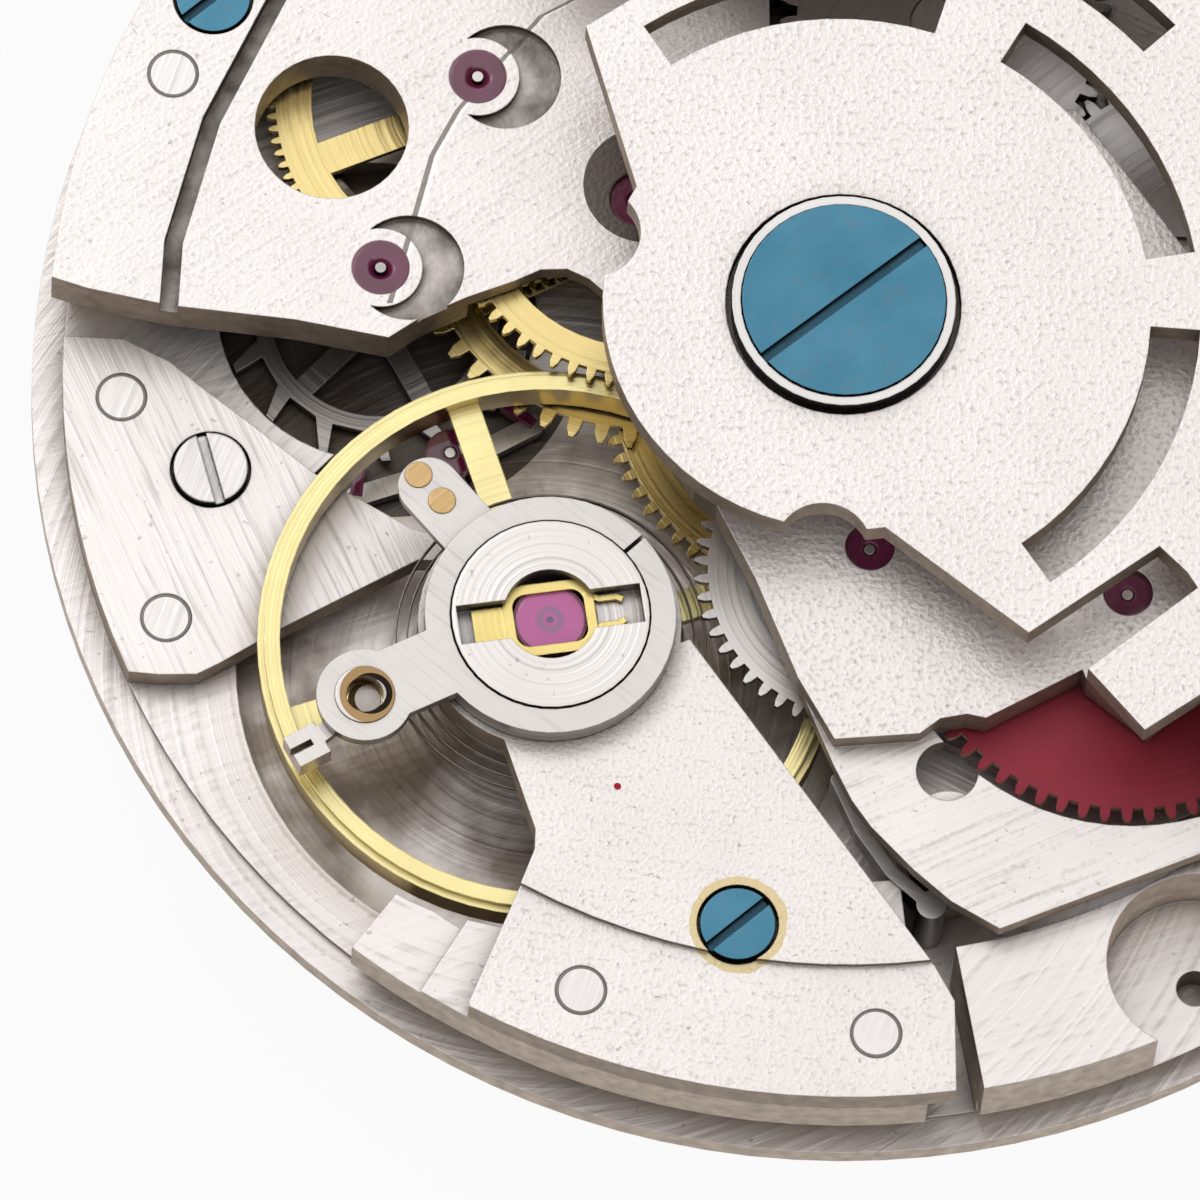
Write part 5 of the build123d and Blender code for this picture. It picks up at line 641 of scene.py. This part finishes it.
def ribbon(form, path, width, low, top, closed=False):
    """Adds a flat strip along a path of points."""
    rows = []
    count = len(path)
    for index, (x, y) in enumerate(path):
        before = path[index - 1] if closed or index else path[index]
        after = path[(index + 1) % count] if closed or index < count - 1 else path[index]
        along = (Vector(after) - Vector(before)).normalized() * (width / 2)
        left = (x - along.y, y + along.x)
        right = (x + along.y, y - along.x)
        corners = ((left, low), (right, low), (right, top), (left, top))
        rows.append([form.verts.new((*side, level)) for side, level in corners])
    for index in range(count if closed else count - 1):
        first, second = rows[index], rows[(index + 1) % count]
        for edge in range(4):
            form.faces.new((first[edge], first[edge - 1], second[edge - 1], second[edge]))
    if not closed:
        form.faces.new(rows[0])
        form.faces.new(rows[-1][::-1])


def rounded_loop(half_length, half_width, corner, steps=8):
    """The points of an oblong with rounded corners."""
    path = []
    for quarter, (x_way, y_way) in enumerate(((1, 1), (-1, 1), (-1, -1), (1, -1))):
        for step in range(steps + 1):
            angle = (quarter + step / steps) * pi / 2
            path.append((x_way * (half_length - corner) + corner * cos(angle),
                         y_way * (half_width - corner) + corner * sin(angle)))
    return path


form = bmesh.new()
loop = rounded_loop(LYRE_HALF_LENGTH, LYRE_HALF_WIDTH, LYRE_CORNER)
low, top = LYRE_LOW + LYRE_INSET, LYRE_TOP - LYRE_INSET
ribbon(form, loop, LYRE_STRIP, LYRE_LOW, LYRE_TOP, closed=True)
ribbon(form, [(TONGUE_START, 0), (TONGUE_END, 0)], TONGUE_WIDTH, low, top)
for way in (1, -1):
    ribbon(form, [(x, y * way) for x, y in PRONG_PATH], PRONG_WIDTH, low, top)
bmesh.ops.recalc_face_normals(form, faces=form.faces)
bmesh.ops.scale(form, vec=(MM, MM, MM), verts=form.verts)
lyre_mesh = bpy.data.meshes.new("lyre_loop")
form.to_mesh(lyre_mesh)
form.free()
lyre = bpy.data.objects.new("lyre_loop", lyre_mesh)
bpy.context.scene.collection.objects.link(lyre)
carry(lyre, BALANCE, 0.0, LYRE_ANGLE)
lyre_finish = gilt("spring gilt", BALANCE, tint=(0.92, 0.72, 0.28), edge=0.03)
lyre_mesh.materials.append(lyre_finish.material)
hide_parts("lyre_spring")
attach(lyre, body_of(nodes["lyre_spring"])[0])

# Automatic work: a bridge over the reversing and reduction wheels, screwed to the plate by its
# feet. The upper face is blasted, the lower step keeps the marks of the cutter.
AUTO_MIDDLE = 3.9


def stepped_grain(finish):
    """Blasting above the middle level, cutter marks below it."""
    upper = finish.along("Z") > AUTO_MIDDLE
    blasted = finish.noise(12.0, 3.0) * (upper * 0.7 + 0.3)
    return blasted + finish.strokes(25, 11.0) * (0.75 - upper * 0.7)


wear("automatic_bridge", finish=plated(
    "automatic bridge nickel", NICKEL, stepped_grain, depth=0.01))
STEEL_WHEEL = (0.45, -3.67)
wear("reduction_wheel", "reverser_pinion", "transfer_wheel", finish=turned(
    "wheel steel", (0.72, 0.69, 0.665), lambda f: f.rings(STEEL_WHEEL, 8.0), roughness=0.25))
wear("ratchet_wheel", "crown_wheel", "click", "click_spring", "gap_spring", finish=turned(
    "ratchet steel", (0.70, 0.67, 0.65), lambda f: f.rings(BARREL, 5.0), roughness=0.25))

# Reversing wheel: aluminium, turned and anodised crimson. Its teeth were cut after the dye, so
# that their walls show bare metal; their light brown is partly that metal and partly a painted
# reflection. Painted shade darkens its tight corners.
RED_WHEEL = (4.59, -4.42)
CRIMSON_DEEP = (0.27, 0.016, 0.034, 1)
CRIMSON_PALE = (0.37, 0.03, 0.058, 1)
BARE_TOOTH_AND_SHEEN = (0.42, 0.27, 0.13, 1)
CRIMSON_CORNER_PAINTED_SHADE = (0.05, 0.012, 0.012, 1)
crimson = Finish("anodised crimson", (0.22, 0.02, 0.04), 0.42, 0.35)
crimson.bump(crimson.rings(RED_WHEEL, 9.0), 0.003, 0.02)
tone = crimson.mix(crimson.noise(1.0), CRIMSON_DEEP, CRIMSON_PALE)
# The tooth walls: bare metal, with a painted reflection in their light brown.
tone = crimson.mix(crimson.steep(), tone, BARE_TOOTH_AND_SHEEN)
# Painted shade in tight corners, from ambient occlusion.
tone = crimson.mix(crimson.corner(0.5).over(0.3, 1.0), tone, CRIMSON_CORNER_PAINTED_SHADE)
crimson.feed({"Base Color": tone})
wear("reversing_wheel", finish=crimson)

# Rotor: a blasted web riveted to a heavy rim, turning on the central post. It is held by one
# large blued screw in a bright collar.
wear("rotor_web", finish=plated(
    "rotor nickel", NICKEL, lambda f: f.noise(11.0, 3.0), depth=0.016, roughness=0.4))
wear("rotor_weight", finish=plated(
    "rim nickel", NICKEL, lambda f: f.rings(CENTRE, 10.0), depth=0.008, wall_shade=(0.32, 0.28, 0.25)))
wear("rotor_hub", finish=turned(
    "collar steel", (0.82, 0.79, 0.77), lambda f: f.rings(CENTRE, 12.0), roughness=0.2))

# Winding and setting work: stem, clutch, pinion and levers of hardened steel, under the barrel
# bridge. The date jumper is cut from the same steel.
wear("winding_stem", "winding_pinion", "sliding_pinion", "setting_lever", "yoke", "date_jumper",
     "setting_wheel", finish=turned(
         "winding steel", (0.64, 0.62, 0.61), lambda f: f.strokes(90, 12.0)))

# Motion work and calendar on the dial side: gilt wheels round a steel cannon pinion, under a
# nickel plated cover. The date ring is lacquered white.
wear("minute_wheel", "hour_wheel", "date_idler", "date_driving_wheel",
     finish=gilt("motion gilt", CENTRE))
wear("cannon_pinion", finish=turned("cannon steel", STEEL, lambda f: f.rings(CENTRE, 12.0)))
wear("calendar_plate", finish=plated(
    "cover nickel", NICKEL, lambda f: f.rings(CENTRE, 10.0), depth=0.006))
LACQUER_DEEP = (0.82, 0.81, 0.78, 1)
LACQUER_PALE = (0.88, 0.87, 0.84, 1)
lacquer = Finish("white lacquer", (0.86, 0.85, 0.82), 0.4, 0.0)
lacquer.feed({"Base Color": lacquer.mix(lacquer.noise(1.5), LACQUER_DEEP, LACQUER_PALE)})
lacquer.bump(lacquer.noise(8.0), 0.001, 0.02)
wear("date_ring", finish=lacquer)

# Studio: a white floor under the movement, even light from a white room, and two soft lamps. The
# floor glows for the camera and in reflections only, so that it stays pale beside bright metal.
FLOOR_LEVEL = -2.1
FLOOR_HALF = 0.4
FLOOR_GLOW = 0.92
ROOM_DIM = 0.55
ROOM_BRIGHT = 1.0
WHITE = (1, 1, 1, 1)
floor_mesh = bpy.data.meshes.new("floor")
corners = [(x * FLOOR_HALF, y * FLOOR_HALF, FLOOR_LEVEL * MM)
           for x, y in ((-1, -1), (1, -1), (1, 1), (-1, 1))]
floor_mesh.from_pydata(corners, [], [(0, 1, 2, 3)])
floor = bpy.data.objects.new("floor", floor_mesh)
bpy.context.scene.collection.objects.link(floor)
paper = Finish("paper", (0.93, 0.93, 0.93), 0.9, 0.0)
ray = paper.nodes.new("ShaderNodeLightPath")
seen = Shade(paper, ray.outputs["Is Camera Ray"]) + Shade(paper, ray.outputs["Is Glossy Ray"])
seen = seen + Shade(paper, ray.outputs["Is Transmission Ray"])
glow = paper.node("ShaderNodeEmission", None, {"Color": WHITE, "Strength": 1.0})
blend = paper.node("ShaderNodeMixShader", None, {
    0: seen * FLOOR_GLOW, 1: Shade(paper, paper.shader.outputs[0]), 2: glow})
paper.link(paper.nodes["Material Output"], "Surface", blend)
floor_mesh.materials.append(paper.material)

world = bpy.data.worlds.new("studio")
bpy.context.scene.world = world
world.use_nodes = True
sky = world.node_tree
ray = sky.nodes.new("ShaderNodeLightPath")
background = sky.nodes["Background"]
background.inputs["Color"].default_value = WHITE
seen = sky.nodes.new("ShaderNodeMath")
seen.operation = "MAXIMUM"
clear = sky.nodes.new("ShaderNodeMath")
clear.operation = "MAXIMUM"
strength = sky.nodes.new("ShaderNodeMapRange")
strength.inputs["To Min"].default_value = ROOM_DIM
strength.inputs["To Max"].default_value = ROOM_BRIGHT
sky.links.new(ray.outputs["Is Camera Ray"], seen.inputs[0])
sky.links.new(ray.outputs["Is Glossy Ray"], seen.inputs[1])
sky.links.new(seen.outputs[0], clear.inputs[0])
sky.links.new(ray.outputs["Is Transmission Ray"], clear.inputs[1])
sky.links.new(clear.outputs[0], strength.inputs["Value"])
sky.links.new(strength.outputs[0], background.inputs["Strength"])


def lamp(name, place, size, power):
    """A soft square lamp that faces the movement."""
    light = bpy.data.lights.new(name, "AREA")
    light.size = size
    light.energy = power
    made = bpy.data.objects.new(name, light)
    made.location = place
    made.rotation_euler = (-Vector(place)).to_track_quat("-Z", "Y").to_euler()
    bpy.context.scene.collection.objects.link(made)


lamp("key", (-0.10, 0.12, 0.20), size=0.10, power=0.10)
lamp("fill", (0.16, -0.10, 0.14), size=0.14, power=0.03)

# Camera: a long lens, tilted from the upright towards the lower edge of the picture. It is moved
# aside, so that the rotor screw lies up and to the right of the picture's middle.
TILT = radians(20.5)
SWING = radians(6.0)
DISTANCE = 300.0
PIXELS_PER_MM = 62.3
PICTURE = 1200.0
SENSOR = 36.0
CLIP_NEAR = 0.01
CLIP_FAR = 5.0
CENTRE_PIXEL = (843.9, 300.8)
REFERENCE_LEVEL = 5.6
side = Vector((-sin(SWING), -cos(SWING), 0))
back = Vector((side.x * sin(TILT), side.y * sin(TILT), cos(TILT)))
lean = Vector((side.x * cos(TILT), side.y * cos(TILT), -sin(TILT)))
across = Vector((-side.y, side.x, 0))
right = (lean * side.x + across * across.x).normalized()
above = back.cross(right)
focal = PIXELS_PER_MM * DISTANCE
shift_x = (CENTRE_PIXEL[0] - PICTURE / 2) / focal
shift_y = (PICTURE / 2 - CENTRE_PIXEL[1]) / focal
camera_data = bpy.data.cameras.new("camera")
camera_data.sensor_width = SENSOR
camera_data.lens = SENSOR * focal / PICTURE
camera_data.clip_start = CLIP_NEAR
camera_data.clip_end = CLIP_FAR
camera = bpy.data.objects.new("camera", camera_data)
bpy.context.scene.collection.objects.link(camera)
spot = Vector((0, 0, REFERENCE_LEVEL)) + DISTANCE * (back - right * shift_x - above * shift_y)
turn = Matrix((right, above, back)).transposed().to_4x4()
camera.matrix_world = Matrix.Translation(spot * MM) @ turn
bpy.context.scene.camera = camera
bpy.context.scene.view_settings.view_transform = "Standard"
